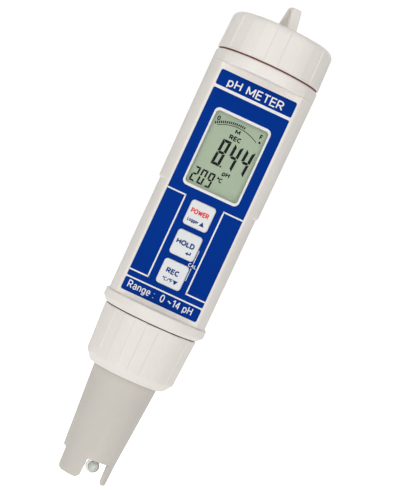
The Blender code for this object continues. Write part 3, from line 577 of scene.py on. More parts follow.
def ink(name, colour, roughness=0.45, screen=5.0):
    """Screen-printed ink, whose edge of the mesh pattern still shows as a fine texture."""
    s = Shader(name)
    dots = s.cells(screen)
    mottle = s.ranged(s.noise(0.9, 4.0, rough=0.65), 0.35, 0.7, 0.0, 1.0)
    s.set("Base Color", s.mixed(mottle, scaled(colour, 0.94), scaled(colour, 1.03)))
    s.set("Roughness", s.ranged(mottle, 0.0, 1.0, roughness - 0.05, roughness + 0.08))
    s.set("Normal", s.bump(dots, 0.006, 0.5))
    s.set("Specular IOR Level", 0.2)
    return s.material


def clear_pane(name):
    """A clear acrylic pane: light passes, and its faces mirror a little, with fine hairlines."""
    s = Shader(name)
    through = s.node("ShaderNodeBsdfTransparent", {"Color": (0.975, 0.985, 0.975)})
    hair = s.noise(0.8, 6.0, s.stretched((6.0, 1.0, 0.5)), 0.7)
    haze = s.ranged(hair, 0.3, 0.8, 0.06, 0.22)
    gloss = s.node("ShaderNodeBsdfGlossy", {"Color": (0.85, 0.9, 0.9), "Roughness": haze})
    fresnel = s.node("ShaderNodeFresnel", {"IOR": 1.45})
    share = s.maths("MULTIPLY", fresnel.outputs[0], 0.3)
    s.end_with(s.layered(share, through.outputs[0], gloss.outputs[0]))
    return s.material


def blown_glass(name):
    """Thin laboratory glass: light passes almost straight, with a faint milky veil and a mirror edge."""
    s = Shader(name)
    through = s.node("ShaderNodeBsdfTransparent", {"Color": (0.96, 0.98, 0.965)})
    veil = s.node("ShaderNodeBsdfDiffuse", {"Color": (0.78, 0.82, 0.78)})
    wave = s.noise(0.35, 2.0)
    uneven = {"Roughness": s.ranged(wave, 0.3, 0.7, 0.03, 0.10), "Normal": s.bump(wave, 0.1, 0.4)}
    gloss = s.node("ShaderNodeBsdfGlossy", uneven)
    facing = s.node("ShaderNodeLayerWeight", {"Blend": 0.35}).outputs
    milk = s.ranged(facing["Facing"], 0.0, 1.0, 0.2, 0.62)
    milky = s.layered(milk, through.outputs[0], veil.outputs[0])
    mirror = s.ranged(facing["Fresnel"], 0.0, 1.0, 0.03, 0.25)
    s.end_with(s.layered(mirror, milky, gloss.outputs[0]))
    return s.material


def filling(name):
    """The bulb's filling, silvery, with painted shade that turns it nearly black round its rim and a faint
    painted glow.
    """
    s = Shader(name)
    facing = s.node("ShaderNodeLayerWeight", {"Blend": 0.5})
    # Painted shade: the colour turns nearly black where the surface faces away from the view, standing in for
    # the dark edge of the glass.
    rim = s.ranged(facing.outputs["Facing"], 0.42, 0.62, 0.0, 1.0)
    swirl = s.ranged(s.noise(0.6, 3.0), 0.35, 0.65, 0.0, 1.0)
    tone = s.mixed(swirl, (0.66, 0.68, 0.64), (0.92, 0.93, 0.90))
    s.set("Base Color", s.mixed(rim, tone, (0.02, 0.022, 0.02)))
    s.set("Roughness", s.ranged(swirl, 0.0, 1.0, 0.08, 0.16))
    s.set("Normal", s.bump(swirl, 0.03, 0.4))
    # Painted glow: the filling emits its own tone, lifting it out of the shade of the tube.
    s.set("Emission Color", s.mixed(rim, tone, (0.0, 0.0, 0.0)))
    s.set("Emission Strength", FILLING_GLOW)
    return s.material


def display_liquid(name, colour):
    """The reflective layer of the display, with a fine matrix, a slow change of tint and a faint painted
    glow.
    """
    s = Shader(name)
    slow = s.ranged(s.noise(0.06, 2.0), 0.3, 0.7, 0.0, 1.0)
    tone = s.mixed(slow, scaled(colour, 0.97), scaled(colour, 1.03))
    sparkle = s.ranged(s.noise(9.0, 2.0), 0.55, 0.8, 0.0, 0.12)
    s.set("Base Color", s.mixed(sparkle, tone, scaled(colour, 1.25)))
    s.set("Roughness", s.ranged(s.noise(4.0, 3.0), 0.3, 0.7, 0.35, 0.5))
    s.set("Normal", s.bump(s.noise(6.0, 2.0), 0.004, 0.4))
    # Painted glow: the layer emits its own tint, lifting it out of the shade of its window.
    s.set("Emission Color", tone)
    s.set("Emission Strength", LIQUID_GLOW)
    return s.material


def circuit_board(name):
    """Green solder mask over square-cornered copper tracks, with tinned pads."""
    s = Shader(name)
    parts = s.separate()
    flat = s.node("ShaderNodeCombineXYZ", {"X": parts["X"], "Y": parts["Z"]}).outputs["Vector"]
    layout = {"Vector": flat, "Scale": 0.32, "Brick Width": 0.9, "Row Height": 0.42}
    edges = {"Mortar Size": 0.055, "Mortar Smooth": 0.0}
    tracks = s.node("ShaderNodeTexBrick", {**layout, **edges}).outputs["Fac"]
    pads = s.ranged(s.cells(0.55), 0.09, 0.10, 1.0, 0.0)
    mask = s.mixed(tracks, (0.008, 0.085, 0.03), (0.02, 0.17, 0.06))
    s.set("Base Color", s.mixed(pads, mask, (0.55, 0.55, 0.5)))
    s.set("Metallic", s.maths("MULTIPLY", pads, 0.9))
    s.set("Roughness", s.ranged(s.noise(0.7, 3.0), 0.3, 0.7, 0.25, 0.42))
    s.set("Normal", s.bump(s.maths("MAXIMUM", tracks, pads), 0.03, 0.6))
    return s.material


def printed_sleeve(name):
    """The shrink sleeve of a dry cell: bare metal ends, a plain green body and a pale grey band."""
    s = Shader(name)
    height = s.separate()["Z"]
    cell_low, cell_high = span("battery_cell_front_left")
    bottom, top = cell_low.z, cell_high.z
    metal_end = s.maths("GREATER_THAN", height, top - 1.5)
    metal_foot = s.maths("LESS_THAN", height, bottom + 1.0)
    bare = s.maths("MAXIMUM", metal_end, metal_foot)
    band = s.maths("GREATER_THAN", height, top - 13.0)
    scuffs = s.ranged(s.noise(0.7, 6.0, s.stretched((1.0, 1.0, 0.3)), 0.7), 0.55, 0.8, 0.0, 0.4)
    body = s.mixed(band, (0.03, 0.16, 0.08), (0.46, 0.47, 0.45))
    body = s.mixed(scuffs, body, (0.16, 0.15, 0.14))
    s.set("Base Color", s.mixed(bare, body, (0.6, 0.6, 0.6)))
    s.set("Metallic", s.ranged(bare, 0.0, 1.0, 0.35, 1.0))
    s.set("Roughness", s.ranged(scuffs, 0.0, 0.4, 0.25, 0.5))
    s.set("Normal", s.bump(s.noise(1.2, 3.0), 0.01, 0.4))
    return s.material


def ceramic(name):
    """Porous white ceramic."""
    s = Shader(name)
    pores = s.ranged(s.cells(5.0), 0.05, 0.3, 0.0, 1.0)
    s.set("Base Color", s.mixed(pores, (0.45, 0.42, 0.36), (0.82, 0.80, 0.74)))
    s.set("Roughness", s.ranged(s.noise(2.0, 3.0), 0.3, 0.7, 0.8, 0.95))
    s.set("Normal", s.bump(pores, 0.05, 0.8))
    return s.material


BODY_COLOUR = (0.80, 0.758, 0.708)
ELECTRODE_COLOUR = (0.592, 0.556, 0.505)
BLUE = (0.0001, 0.0305, 0.250)

white_ink = ink("visual_white_ink", (0.81, 0.80, 0.79))
red_ink = ink("visual_red_ink", (0.78, 0.03, 0.03))
blue_ink = ink("visual_blue_ink", (0.003, 0.035, 0.20))
segment_ink = ink("visual_segment_ink", (0.001, 0.003, 0.005), 0.6, 9.0)
bulb_fill = filling("visual_bulb_filling")

FINISH_OF_SLOT = {
    "housing_plastic": plastic("visual_housing_plastic", BODY_COLOUR, 0.40),
    "electrode_plastic": plastic("visual_electrode_plastic", ELECTRODE_COLOUR, 0.45, 2.0, 0.008),
    "black_plastic": plastic("visual_black_plastic", (0.022, 0.022, 0.024), 0.45, 2.0, 0.008, 0.1),
    "key_plastic": plastic("visual_key_plastic", (0.74, 0.752, 0.755), 0.38, 3.5, 0.004, 0.015),
    "overlay_film": film("visual_overlay_film", BLUE),
    "clear_plastic": clear_pane("visual_clear_pane"),
    "clear_glass": blown_glass("visual_blown_glass"),
    "display_glass": display_liquid("visual_display_liquid", (0.415, 0.485, 0.362)),
    "red_rubber": rubber("visual_red_rubber", (0.16, 0.035, 0.015)),
    "dark_rubber": rubber("visual_dark_rubber", (0.035, 0.022, 0.016)),
    "elastomer": rubber("visual_grey_elastomer", (0.30, 0.30, 0.31), 0.7),
    "circuit_board": circuit_board("visual_circuit_board"),
    "chip_black": plastic("visual_chip_black", (0.016, 0.016, 0.018), 0.42, 6.0, 0.01, 0.1),
    "nickel": metal("visual_nickel", (0.66, 0.64, 0.60), 0.24),
    "steel": metal("visual_steel", (0.56, 0.57, 0.58), 0.28, (5.0, 5.0, 0.6), 0.15),
    "gold": metal("visual_gold", (0.83, 0.60, 0.25), 0.22, tarnish=0.1),
    "silver_wire": metal("visual_silver", (0.82, 0.81, 0.78), 0.25, (4.0, 4.0, 0.5), 0.4),
    "porous_ceramic": ceramic("visual_porous_ceramic"),
    "cell_sleeve": printed_sleeve("visual_cell_sleeve"),
    "red_insulation": plastic("visual_red_insulation", (0.50, 0.02, 0.02), 0.42, 4.0, 0.01, 0.08),
    "black_insulation": plastic("visual_black_insulation", (0.02, 0.02, 0.02), 0.42, 4.0, 0.01, 0.08),
}


def paint_frame_nodes():
    """Every node of the frame takes the procedural finish of its own material slot."""
    for name, node in frame["nodes"].items():
        node.data.materials.clear()
        node.data.materials.append(FINISH_OF_SLOT[SLOT_OF_NODE[name]])


# ---------------------------------------------------------------- housing


def bent(start, control, end, steps):
    """Points along a smooth bend from start to end, without either of them."""
    path = []
    for i in range(1, steps):
        t = i / steps
        weights = ((1 - t) ** 2, 2 * t * (1 - t), t * t)
        path.append(tuple(sum(w * p[k] for w, p in zip(weights, (start, control, end))) for k in (0, 1)))
    return path


def front_section(radius, flat_y=FRONT_Y, flat_half=FLAT_HALF):
    """The housing's cross-section as (x, y) pairs from the front centre round to the back and
    home again: a flat, a rounded corner, a swelling side and a round back."""
    flat_steps, fillet_steps, side_steps, back_steps = 12, 7, 9, 30
    fillet_turn = math.radians(FILLET_TURN_DEG)
    side_end = math.radians(SIDE_END_DEG)
    half = [(flat_half * i / flat_steps, flat_y) for i in range(flat_steps)]
    for i in range(fillet_steps):
        turn = fillet_turn * i / (fillet_steps - 1)
        half.append((flat_half + FRONT_FILLET * math.sin(turn), flat_y + FRONT_FILLET * (1 - math.cos(turn))))
    start = half[-1]
    end = (radius * math.sin(side_end), -radius * math.cos(side_end))
    run = Vector((math.cos(fillet_turn), math.sin(fillet_turn)))
    arrive = Vector((math.cos(side_end), math.sin(side_end)))
    gap = Vector(end) - Vector(start)
    reach = (gap.x * arrive.y - gap.y * arrive.x) / (run.x * arrive.y - run.y * arrive.x)
    control = Vector(start) + run * reach
    half += bent(start, tuple(control), end, side_steps)
    for i in range(back_steps + 1):
        turn = side_end + (math.pi - side_end) * i / back_steps
        half.append((radius * math.sin(turn), -radius * math.cos(turn)))
    return half + [(-x, y) for x, y in reversed(half[1:-1])]


def flat_ring(z, radius, inset=0.0):
    return [(x, y, z) for x, y in front_section(radius, FRONT_Y + inset)]


def round_ring(z, radius, corner_share=0.0, dip=0.0):
    """A round ring whose points stand at the same azimuths as the flat-fronted rings. Close to
    the flat, its sides swell to carry the flat's two corners on. A dip rounds a ledge's front."""
    ring = []
    for x, y in front_section(BODY_RADIUS):
        azimuth = math.atan2(x, -y)
        swell = max(0.0, math.hypot(x, y) - BODY_RADIUS) * corner_share
        sunk = dip * min(1.0, max(0.0, (math.cos(azimuth) - 0.5) / 0.2))
        ring.append(on_circle(radius + swell - sunk, azimuth, z))
    return ring


def corner_share(radius, away):
    """How much of the flat's corners a round ring carries on. The slim necks have none of it."""
    return max(0.0, 1 - away / CORNER_FADE) if radius > NECK_LIMIT else 0.0


def cavity_ring(z):
    return [(x, y, z) for x, y in front_section(CAVITY_RADIUS, INNER_FRONT_Y, INNER_FLAT_HALF)]


def plateau_rings():
    """The flat-fronted length. Its front turns out into a small cove at both ends, and its grip is
    slimmer than the part above the step."""
    low = [flat_ring(FLAT_BOTTOM_Z + rise, GRIP_RADIUS, inset) for rise, inset in reversed(COVE)]
    step = [(GRIP_RADIUS, STEP_Z - 4.0, 0), (GRIP_RADIUS, STEP_Z - 0.55, 0.3)]
    step += [(STEP_RADIUS, STEP_Z + 0.35, 0.7), (STEP_RADIUS + 0.02, STEP_Z + 4.0, 0)]
    middle = [flat_ring(z, radius) for radius, z in softened(step, 6)]
    high = [flat_ring(FLAT_TOP_Z - rise, BODY_RADIUS, inset) for rise, inset in COVE]
    return low + middle + high


def housing_shell():
    low_end, high_end = (corner.z for corner in span("housing"))
    foot = softened(
        [
            (LOW_NECK_ROOT - 0.4, low_end, 0),
            (LOW_NECK_ROOT, low_end + 0.4, 0.2),
            (LOW_NECK_ROOT, BODY_BOTTOM_Z, 0.15),
            (18.1, BODY_BOTTOM_Z, 0.3),
            (FLANGE_RADIUS, FLANGE_LOW_Z, 0.9),
            (FLANGE_RADIUS, FLANGE_HIGH_Z, 0.6),
            (GRIP_RADIUS + 0.1, FLAT_BOTTOM_Z + 0.02, 0),
        ]
    )
    head = softened(
        [
            (BODY_RADIUS, FLAT_TOP_Z + 0.02, 0),
            (BODY_RADIUS, FLAT_TOP_Z + 0.12, 0),
            (BODY_RADIUS, FLAT_TOP_Z + 0.35, 0),
            (BODY_RADIUS, BODY_TOP_Z, 0.95),
            (TOP_NECK_ROOT, BODY_TOP_Z, 0.15),
            (TOP_NECK_ROOT, high_end, 0.4),
            (TOP_NECK_BORE, high_end, 0.2),
            (TOP_NECK_BORE, TOP_BORE_END_Z, 0),
        ]
    )
    rings = [round_ring(z, radius, corner_share(radius, FLAT_BOTTOM_Z - z)) for radius, z in foot]
    rings += plateau_rings()
    for radius, z in head:
        dip = 0.4 * max(0.0, 1 - (z - FLAT_TOP_Z) / 0.35) ** 2
        rings.append(round_ring(z, radius, corner_share(radius, z - FLAT_TOP_Z), dip))
    rings += [cavity_ring(CAVITY_TOP_Z), cavity_ring(CAVITY_BOTTOM_Z)]
    rings += [round_ring(LOW_BORE_END_Z, LOW_NECK_BORE), round_ring(low_end, LOW_NECK_BORE)]
    return skin(rings, closed=True)


def build_housing():
    overlay_low, overlay_high = span("front_overlay")
    label_mid = (0, middle_z(overlay_low, overlay_high))
    half_width = overlay_high.x + RECESS_MARGIN
    half_height = (overlay_high.z - overlay_low.z) / 2 + RECESS_MARGIN
    window_low, window_high = span("display_window")
    display_mid = (0, middle_z(window_low, window_high))
    opening_height = window_high.z - window_low.z
    opening = (window_high.x + OPENING_MARGIN, opening_height / 2 + OPENING_MARGIN, 0.6)
    power_high = span("power_key")[1]
    record_low = span("record_key")[0]
    key_mid = (0, middle_z(record_low, power_high))
    well_height = power_high.z - record_low.z
    well = (power_high.x + OPENING_MARGIN, well_height / 2 + OPENING_MARGIN, 1.0)
    through_y = INNER_FRONT_Y + 1
    tools = [
        ("UNION", thread_ridge(TOP_NECK_ROOT, TOP_NECK_CREST, 0.0, TOP_THREAD_Z)),
        ("UNION", thread_ridge(LOW_NECK_ROOT, LOW_NECK_CREST, 0.0, LOW_THREAD_Z)),
        ("DIFFERENCE", flared_cutter(half_width, half_height, 0.8, RECESS_FLOOR_Y, FRONT_Y, label_mid)),
        ("DIFFERENCE", flared_cutter(*opening, through_y, RECESS_FLOOR_Y, display_mid)),
        ("DIFFERENCE", flared_cutter(*well, through_y, RECESS_FLOOR_Y, key_mid)),
    ]
    boss_end = span("main_board")[0].y - BOSS_GAP
    boss = [(BOSS_RADIUS, INNER_FRONT_Y - 0.4), (BOSS_RADIUS, boss_end)]
    hole = [(SCREW_HOLE_RADIUS, SCREW_HOLE_END_Y), (SCREW_HOLE_RADIUS, boss_end + 1)]
    for side, screw in ((-1, "board_screw_left"), (1, "board_screw_right")):
        low, high = span(screw)
        centre = ((low.x + high.x) / 2, middle_z(low, high))
        tools.append(("UNION", pin_along_y(boss, centre)))
        tools.append(("DIFFERENCE", pin_along_y(hole, centre)))
        slot_y = sorted(side * radius for radius in TAB_SLOT_RADII)
        tools.append(("DIFFERENCE", block((-TAB_SLOT_HALF, TAB_SLOT_HALF), slot_y, TAB_SLOT_Z)))
    tools.append(("DIFFERENCE", block((-KEYWAY_HALF, KEYWAY_HALF), KEYWAY_RADII, KEYWAY_Z)))
    stand_in("housing_body", housing_shell(), "housing", "housing", tools)


# ---------------------------------------------------------------- text


def bow(centre_x, centre_z, half_width, half_height, start, end):
    """Points along part of an ellipse from one angle to another, in degrees."""
    steps = max(3, round(abs(end - start) / 15))
    path = []
    for i in range(steps + 1):
        turn = math.radians(start + (end - start) * i / steps)
        path.append((centre_x + half_width * math.cos(turn), centre_z + half_height * math.sin(turn)))
    return path


def bowl(stem_end, centre_z, half_height):
    """The closed upper or full bowl of P, R and D, from the stem out and back."""
    top, bottom = centre_z + half_height, centre_z - half_height
    return [(0, bottom), (0, top), *bow(stem_end, centre_z, 0.28, half_height, 90, -90), (0, bottom)]


# Each glyph is its width and the middle lines of its strokes. A capital letter is one unit high.
GLYPHS = {
    " ": (0.12, []),
    "A": (0.68, [[(0, 0), (0.34, 1), (0.68, 0)], [(0.13, 0.34), (0.55, 0.34)]]),
    "C": (0.62, [bow(0.34, 0.5, 0.34, 0.5, 48, 312)]),
    "D": (0.60, [bowl(0.32, 0.5, 0.5)]),
    "E": (0.50, [[(0.50, 0), (0, 0), (0, 1), (0.50, 1)], [(0, 0.52), (0.46, 0.52)]]),
    "F": (0.48, [[(0, 0), (0, 1), (0.48, 1)], [(0, 0.50), (0.42, 0.50)]]),
    "H": (0.58, [[(0, 0), (0, 1)], [(0.58, 0), (0.58, 1)], [(0, 0.52), (0.58, 0.52)]]),
    "L": (0.46, [[(0, 1), (0, 0), (0.46, 0)]]),
    "M": (0.74, [[(0, 0), (0, 1), (0.37, 0.15), (0.74, 1), (0.74, 0)]]),
    "O": (0.72, [bow(0.36, 0.5, 0.36, 0.5, 0, 360)]),
    "P": (0.54, [[(0, 0), (0, 0.46)], bowl(0.26, 0.73, 0.27)]),
    "R": (0.58, [[(0, 0), (0, 0.46)], bowl(0.26, 0.73, 0.27), [(0.26, 0.46), (0.58, 0)]]),
    "T": (0.60, [[(0, 1), (0.60, 1)], [(0.30, 0), (0.30, 1)]]),
    "W": (0.96, [[(0, 1), (0.24, 0), (0.48, 0.95), (0.72, 0), (0.96, 1)]]),
    "a": (0.44, [bow(0.22, 0.50, 0.21, 0.20, 155, 0) + [(0.43, 0)], bow(0.21, 0.20, 0.21, 0.20, 0, 360)]),
    "e": (0.46, [[(0.02, 0.36)] + bow(0.23, 0.35, 0.23, 0.35, 0, 310)]),
    "g": (0.46, [bow(0.23, 0.36, 0.23, 0.34, 0, 360), [(0.46, 0.7)] + bow(0.23, -0.05, 0.23, 0.18, 0, -150)]),
    "n": (0.42, [[(0, 0), (0, 0.7)], bow(0.21, 0.46, 0.21, 0.24, 180, 0) + [(0.42, 0)]]),
    "o": (0.46, [bow(0.23, 0.35, 0.23, 0.35, 0, 360)]),
    "p": (0.46, [[(0, -0.25), (0, 0.7)], bow(0.23, 0.35, 0.23, 0.35, 0, 360)]),
    "r": (0.27, [[(0, 0), (0, 0.7)], bow(0.25, 0.42, 0.25, 0.27, 180, 85)]),
    "0": (0.50, [bow(0.25, 0.5, 0.25, 0.5, 0, 360)]),
    "1": (0.26, [[(0, 0.76), (0.26, 1), (0.26, 0)]]),
    "4": (0.54, [[(0.41, 0), (0.41, 1), (0, 0.28), (0.54, 0.28)]]),
    ":": (0.02, [[(0.01, 0), (0.01, 0.06)], [(0.01, 0.60), (0.01, 0.66)]]),
    "~": (0.50, [[(0.5 * i / 12, 0.42 + 0.10 * math.sin(math.tau * i / 12)) for i in range(13)]]),
    "/": (0.36, [[(0, 0), (0.36, 1)]]),
    "°": (0.24, [bow(0.12, 0.86, 0.12, 0.14, 0, 360)]),
}
LETTER_GAP = 0.28
OPEN_GAP = 0.2
OPEN_LETTERS = "CEFLT/°"
STROKE_STAGGER = 0.0015


def gentle_parts(path):
    """Cut a path at its sharp points, so that each part can be drawn at full width."""
    parts = [[path[0]]]
    for before, here, after in zip(path, path[1:], path[2:]):
        parts[-1].append(here)
        run, leave = Vector(here) - Vector(before), Vector(after) - Vector(here)
        if run.normalized().dot(leave.normalized()) < -0.2:
            parts.append([here])
    parts[-1].append(path[-1])
    return parts


def stroke(path, weight, y_range):
    """A flat stroke of even width along a path of (x, z) pairs, as a solid."""
    closed = len(path) > 3 and math.dist(path[0], path[-1]) < 1e-4
    spots = [Vector(p) for p in (path[:-1] if closed else path)]
    rings = []
    for i, spot in enumerate(spots):
        first = not closed and i == 0
        last = not closed and i == len(spots) - 1
        before = spot - spots[i - 1] if not first else spots[1] - spot
        after = spots[(i + 1) % len(spots)] - spot if not last else before
        before, after = before.normalized(), after.normalized()
        ahead = (before + after).normalized()
        side = Vector((-ahead.y, ahead.x)) * (weight / 2 / max(0.62, ahead.dot(after)))
        left, right = spot + side, spot - side
        front_y, back_y = min(y_range), max(y_range)
        ring = [(left.x, front_y, left.y), (right.x, front_y, right.y)]
        ring += [(right.x, back_y, right.y), (left.x, back_y, left.y)]
        rings.append(ring)
    return skin(rings, closed)


def letters(text, height, width, centre, y_range, weight):
    """Words that face the front. Height is that of a capital letter, and centre is (x, z). The
    strokes take four depths in turn, so that those that cross don't share a plane."""
    gaps = [OPEN_GAP if letter in OPEN_LETTERS else LETTER_GAP for letter in text]
    length = sum(GLYPHS[letter][0] for letter in text) + sum(gaps[:-1])
    stretch = (width - weight) / max(length, 0.1)
    grow = height - weight
    left = centre[0] - (width - weight) / 2
    bottom = centre[1] - grow / 2
    shapes = []
    for letter, gap in zip(text, gaps):
        glyph_width, strokes = GLYPHS[letter]
        for path in strokes:
            line = [(left + x * stretch, bottom + z * grow) for x, z in path]
            for part in gentle_parts(line):
                front = min(y_range) - STROKE_STAGGER * (len(shapes) % 4)
                shapes.append(stroke(part, weight, (front, max(y_range))))
        left += (glyph_width + gap) * stretch
    return merged(shapes)


# ---------------------------------------------------------------- printed front


def build_overlay():
    low, high = span("front_overlay")
    middle = (0, middle_z(low, high))
    half_height = (high.z - low.z) / 2
    display_low, display_high = span("display_window")
    display_mid = (0, middle_z(display_low, display_high) + WINDOW_RAISE)
    sheet = plate(high.x, half_height, 0.8, (low.y, high.y), middle, edge=0.04)
    frame_hole = (WINDOW_WIDTH / 2 + 0.3, WINDOW_HEIGHT / 2 + 0.3, 1.5)
    tools = [("DIFFERENCE", flared_cutter(*frame_hole, high.y + 0.5, low.y, display_mid, 0.02))]
    for key in ("power_key", "hold_key", "record_key"):
        key_low, key_high = span(key)
        hole = (KEY_SIDE / 2 + KEY_GAP, KEY_SIDE / 2 + KEY_GAP, 1.4)
        centre = (0, middle_z(key_low, key_high))
        tools.append(("DIFFERENCE", flared_cutter(*hole, high.y + 0.5, low.y, centre, 0.04)))
    stand_in("overlay_sheet", sheet, "housing", "front_overlay", tools)
    build_overlay_print(low, high, display_mid)


def build_overlay_print(low, high, display_mid):
    """White lines, the frame of the display and the words, a hair proud of the film."""
    y_range = (low.y - PRINT_RISE, low.y + PRINT_DEPTH)
    left, right = low.x + 0.01, high.x - 0.01
    line = 0.53
    top_line = 1.1
    top_band_z = high.z - 5.79
    low_band_z = low.z + 4.87
    box_top, box_bottom = 108.42, 76.48
    shapes = [
        block((left, right), y_range, (top_band_z - top_line, top_band_z)),
        block((left, right), y_range, (low_band_z, low_band_z + line)),
    ]
    for border, upright_x in ((left, -7.63), (right, 7.3)):
        ends = sorted((border, upright_x - math.copysign(line / 2, upright_x)))
        for z in (box_top, box_bottom):
            shapes.append(block(ends, y_range, (z - line / 2, z + line / 2)))
        shapes.append(block((upright_x - line / 2, upright_x + line / 2), y_range, (box_bottom, box_top)))
    edges = [(top_band_z, 1), (top_band_z - top_line, -1)]
    edges += [(low_band_z, -1), (low_band_z + line, 1)]
    for side in (-1, 1):
        for edge_z, away in edges:
            shapes.append(corner_fill(side * right, edge_z, side, away, 0.55, y_range))
    outer = (WINDOW_WIDTH / 2 + 0.75, WINDOW_HEIGHT / 2 + 1.02, 1.95)
    inner = (WINDOW_WIDTH / 2, WINDOW_HEIGHT / 2, 1.3)
    sleeve = (WINDOW_WIDTH / 2 + 0.28, WINDOW_HEIGHT / 2 + 0.28, 1.5)
    shapes.append(bezel(outer, inner, sleeve, (y_range[0] - 0.02, y_range[1], high.y), display_mid))
    shapes.append(letters("pH METER", 3.3, 21.6, (0, (high.z + top_band_z) / 2 - 0.4), y_range, 0.48))
    range_mid = (-0.5, (low.z + low_band_z) / 2 + 0.35)
    shapes.append(letters("Range :  0 ~14 pH", 2.85, 25.0, range_mid, y_range, 0.37))
    hair = 0.12
    cal_x, cal_z = 5.17, 86.4
    shapes.append(letters("CAL", 1.4, 3.05, (5.2, cal_z), y_range, 0.21))
    for end_z, side in ((92.2, 1), (80.7, -1)):
        upright = sorted((cal_z + side, end_z))
        shapes.append(block((cal_x - hair, cal_x + hair), y_range, upright))
        shapes.append(block((KEY_SIDE / 2 + 0.15, cal_x), y_range, (end_z - hair, end_z + hair)))
    piece("overlay_print", merged(shapes), "housing", white_ink)


def corner_fill(x, z, side, away, corner, y_range):
    """A small white spandrel that rounds one corner of a blue band."""
    outline = [(x - side * corner * a, z + away * corner * b) for a, b in quarter_bend(6)]
    return prism([(x, z)] + outline, y_range)


def bezel(outer, inner, sleeve, depths, centre):
    """The white frame of the display: a raised lip over the film and a sleeve down its hole."""
    front_y, film_y, back_y = depths
    rings = [
        rounded_outline(*outer, film_y, centre),
        rounded_outline(*outer, front_y + 0.05, centre),
        rounded_outline(outer[0] - 0.06, outer[1] - 0.06, outer[2] - 0.06, front_y, centre),
        rounded_outline(inner[0] + 0.1, inner[1] + 0.1, inner[2] + 0.1, front_y, centre),
        rounded_outline(*inner, front_y + 0.1, centre),
        rounded_outline(*inner, back_y, centre),
        rounded_outline(*sleeve, back_y, centre),
        rounded_outline(*sleeve, film_y, centre),
    ]
    return skin(rings, closed=True)


# ---------------------------------------------------------------- display


SEGMENTS_LIT = {"0": "abcdef", "2": "abged", "4": "fgbc", "8": "abcdefg", "9": "abcdfg"}


def digit(figure, left, bottom, width, height, bar, lean):
    """A seven-segment figure as outlines of (x, z) pairs, leaning to the right."""
    slit = 0.045
    middle, half = height / 2, bar / 2
    level = [(slit, 0), (width - slit, 0), (width - bar - slit, -bar), (bar + slit, -bar)]
    upright = [(0, -slit), (bar, -bar - slit), (bar, -middle + half + slit), (0, -middle + slit + 0.2 * half)]
    bridge = [(0.35 * bar, 0), (bar + slit, half), (width - bar - slit, half)]
    bridge += [(width - 0.35 * bar, 0), (width - bar - slit, -half), (bar + slit, -half)]
    shapes = {
        "a": [(x, height + z) for x, z in level],
        "b": [(width - x, height + z) for x, z in upright],
        "c": [(width - x, -z) for x, z in upright],
        "d": [(x, -z) for x, z in level],
        "e": [(x, -z) for x, z in upright],
        "f": [(x, height + z) for x, z in upright],
        "g": [(x, middle + z) for x, z in bridge],
    }
    outlines = []
    for name in SEGMENTS_LIT[figure]:
        outlines.append([(left + x + z * lean, bottom + z) for x, z in shapes[name]])
    return outlines


def scale_marks():
    """The bar scale over the reading: a row of slanted bars, a thin arc and an end mark."""
    outlines = []
    centre_x, centre_z = -0.39, -3.71

    def at(radius, degrees):
        turn = math.radians(degrees)
        return (centre_x + radius * math.sin(turn), centre_z + radius * math.cos(turn))

    bars, first_deg, last_deg, half, slant = 16, -33.0, 6.2, 0.8, 0.7
    for i in range(bars):
        low = first_deg + (last_deg - first_deg) * i / (bars - 1)
        high = low + slant
        foot = [at(15.31, low - half), at(15.31, low + half)]
        outlines.append(foot + [at(16.25, high + half), at(16.25, high - half)])
    arc = [-30.6 + 61.8 * i / 24 for i in range(25)]
    for start, end in zip(arc, arc[1:]):
        outlines.append([at(14.72, start), at(14.72, end), at(14.98, end), at(14.98, start)])
    outlines.append([at(15.5, 32.3), at(15.5, 34.9), at(16.22, 34.9), at(16.22, 32.3)])
    return outlines


def build_display():
    low, high = span("display_glass")
    window_low, window_high = span("display_window")
    centre = (0, middle_z(low, high))
    half = ((high.x - low.x) / 2, (high.z - low.z) / 2)
    cell = plate(*half, 0.3, (high.y, low.y), centre, 0.15)
    stand_in("display_cell", cell, "housing", "display_glass")
    window = plate(*half, 0.5, (window_high.y, window_low.y), centre, 0.12)
    stand_in("display_pane", window, "housing", "display_window")
    y_range = (low.y - 0.03, low.y + 0.05)
    lean = 0.078
    outlines = scale_marks()
    for figure, left in (("8", -4.53), ("4", 0.16), ("4", 4.75)):
        outlines += digit(figure, left, -4.25, 3.3, 9.85, 1.02, lean)
    for figure, left in (("2", -9.15), ("0", -6.27), ("9", -3.38)):
        outlines += digit(figure, left, -12.83, 2.2, 5.65, 0.66, lean)
    outlines.append([(-1.03, -4.3), (-0.43, -4.3), (-0.36, -3.7), (-0.96, -3.7)])
    outlines.append([(-4.0, -12.8), (-3.72, -12.8), (-3.69, -12.52), (-3.97, -12.52)])
    shapes = [prism([(x, centre[1] + z) for x, z in outline], y_range) for outline in outlines]
    words = (
        ("0", 1.75, 1.15, -8.38, 11.55, 0.38),
        ("F", 1.8, 1.15, 8.15, 11.5, 0.4),
        ("M", 1.8, 1.85, -0.13, 9.7, 0.38),
        ("REC", 1.8, 4.6, 0.05, 7.13, 0.42),
        ("pH", 1.85, 2.8, 2.37, -5.77, 0.4),
        ("°C", 1.75, 2.25, 1.15, -8.55, 0.38),
    )
    for text, height, width, x, z, weight in words:
        shapes.append(letters(text, height, width, (x, centre[1] + z), y_range, weight))
    piece("display_figures", merged(shapes), "housing", segment_ink)


# ---------------------------------------------------------------- keys


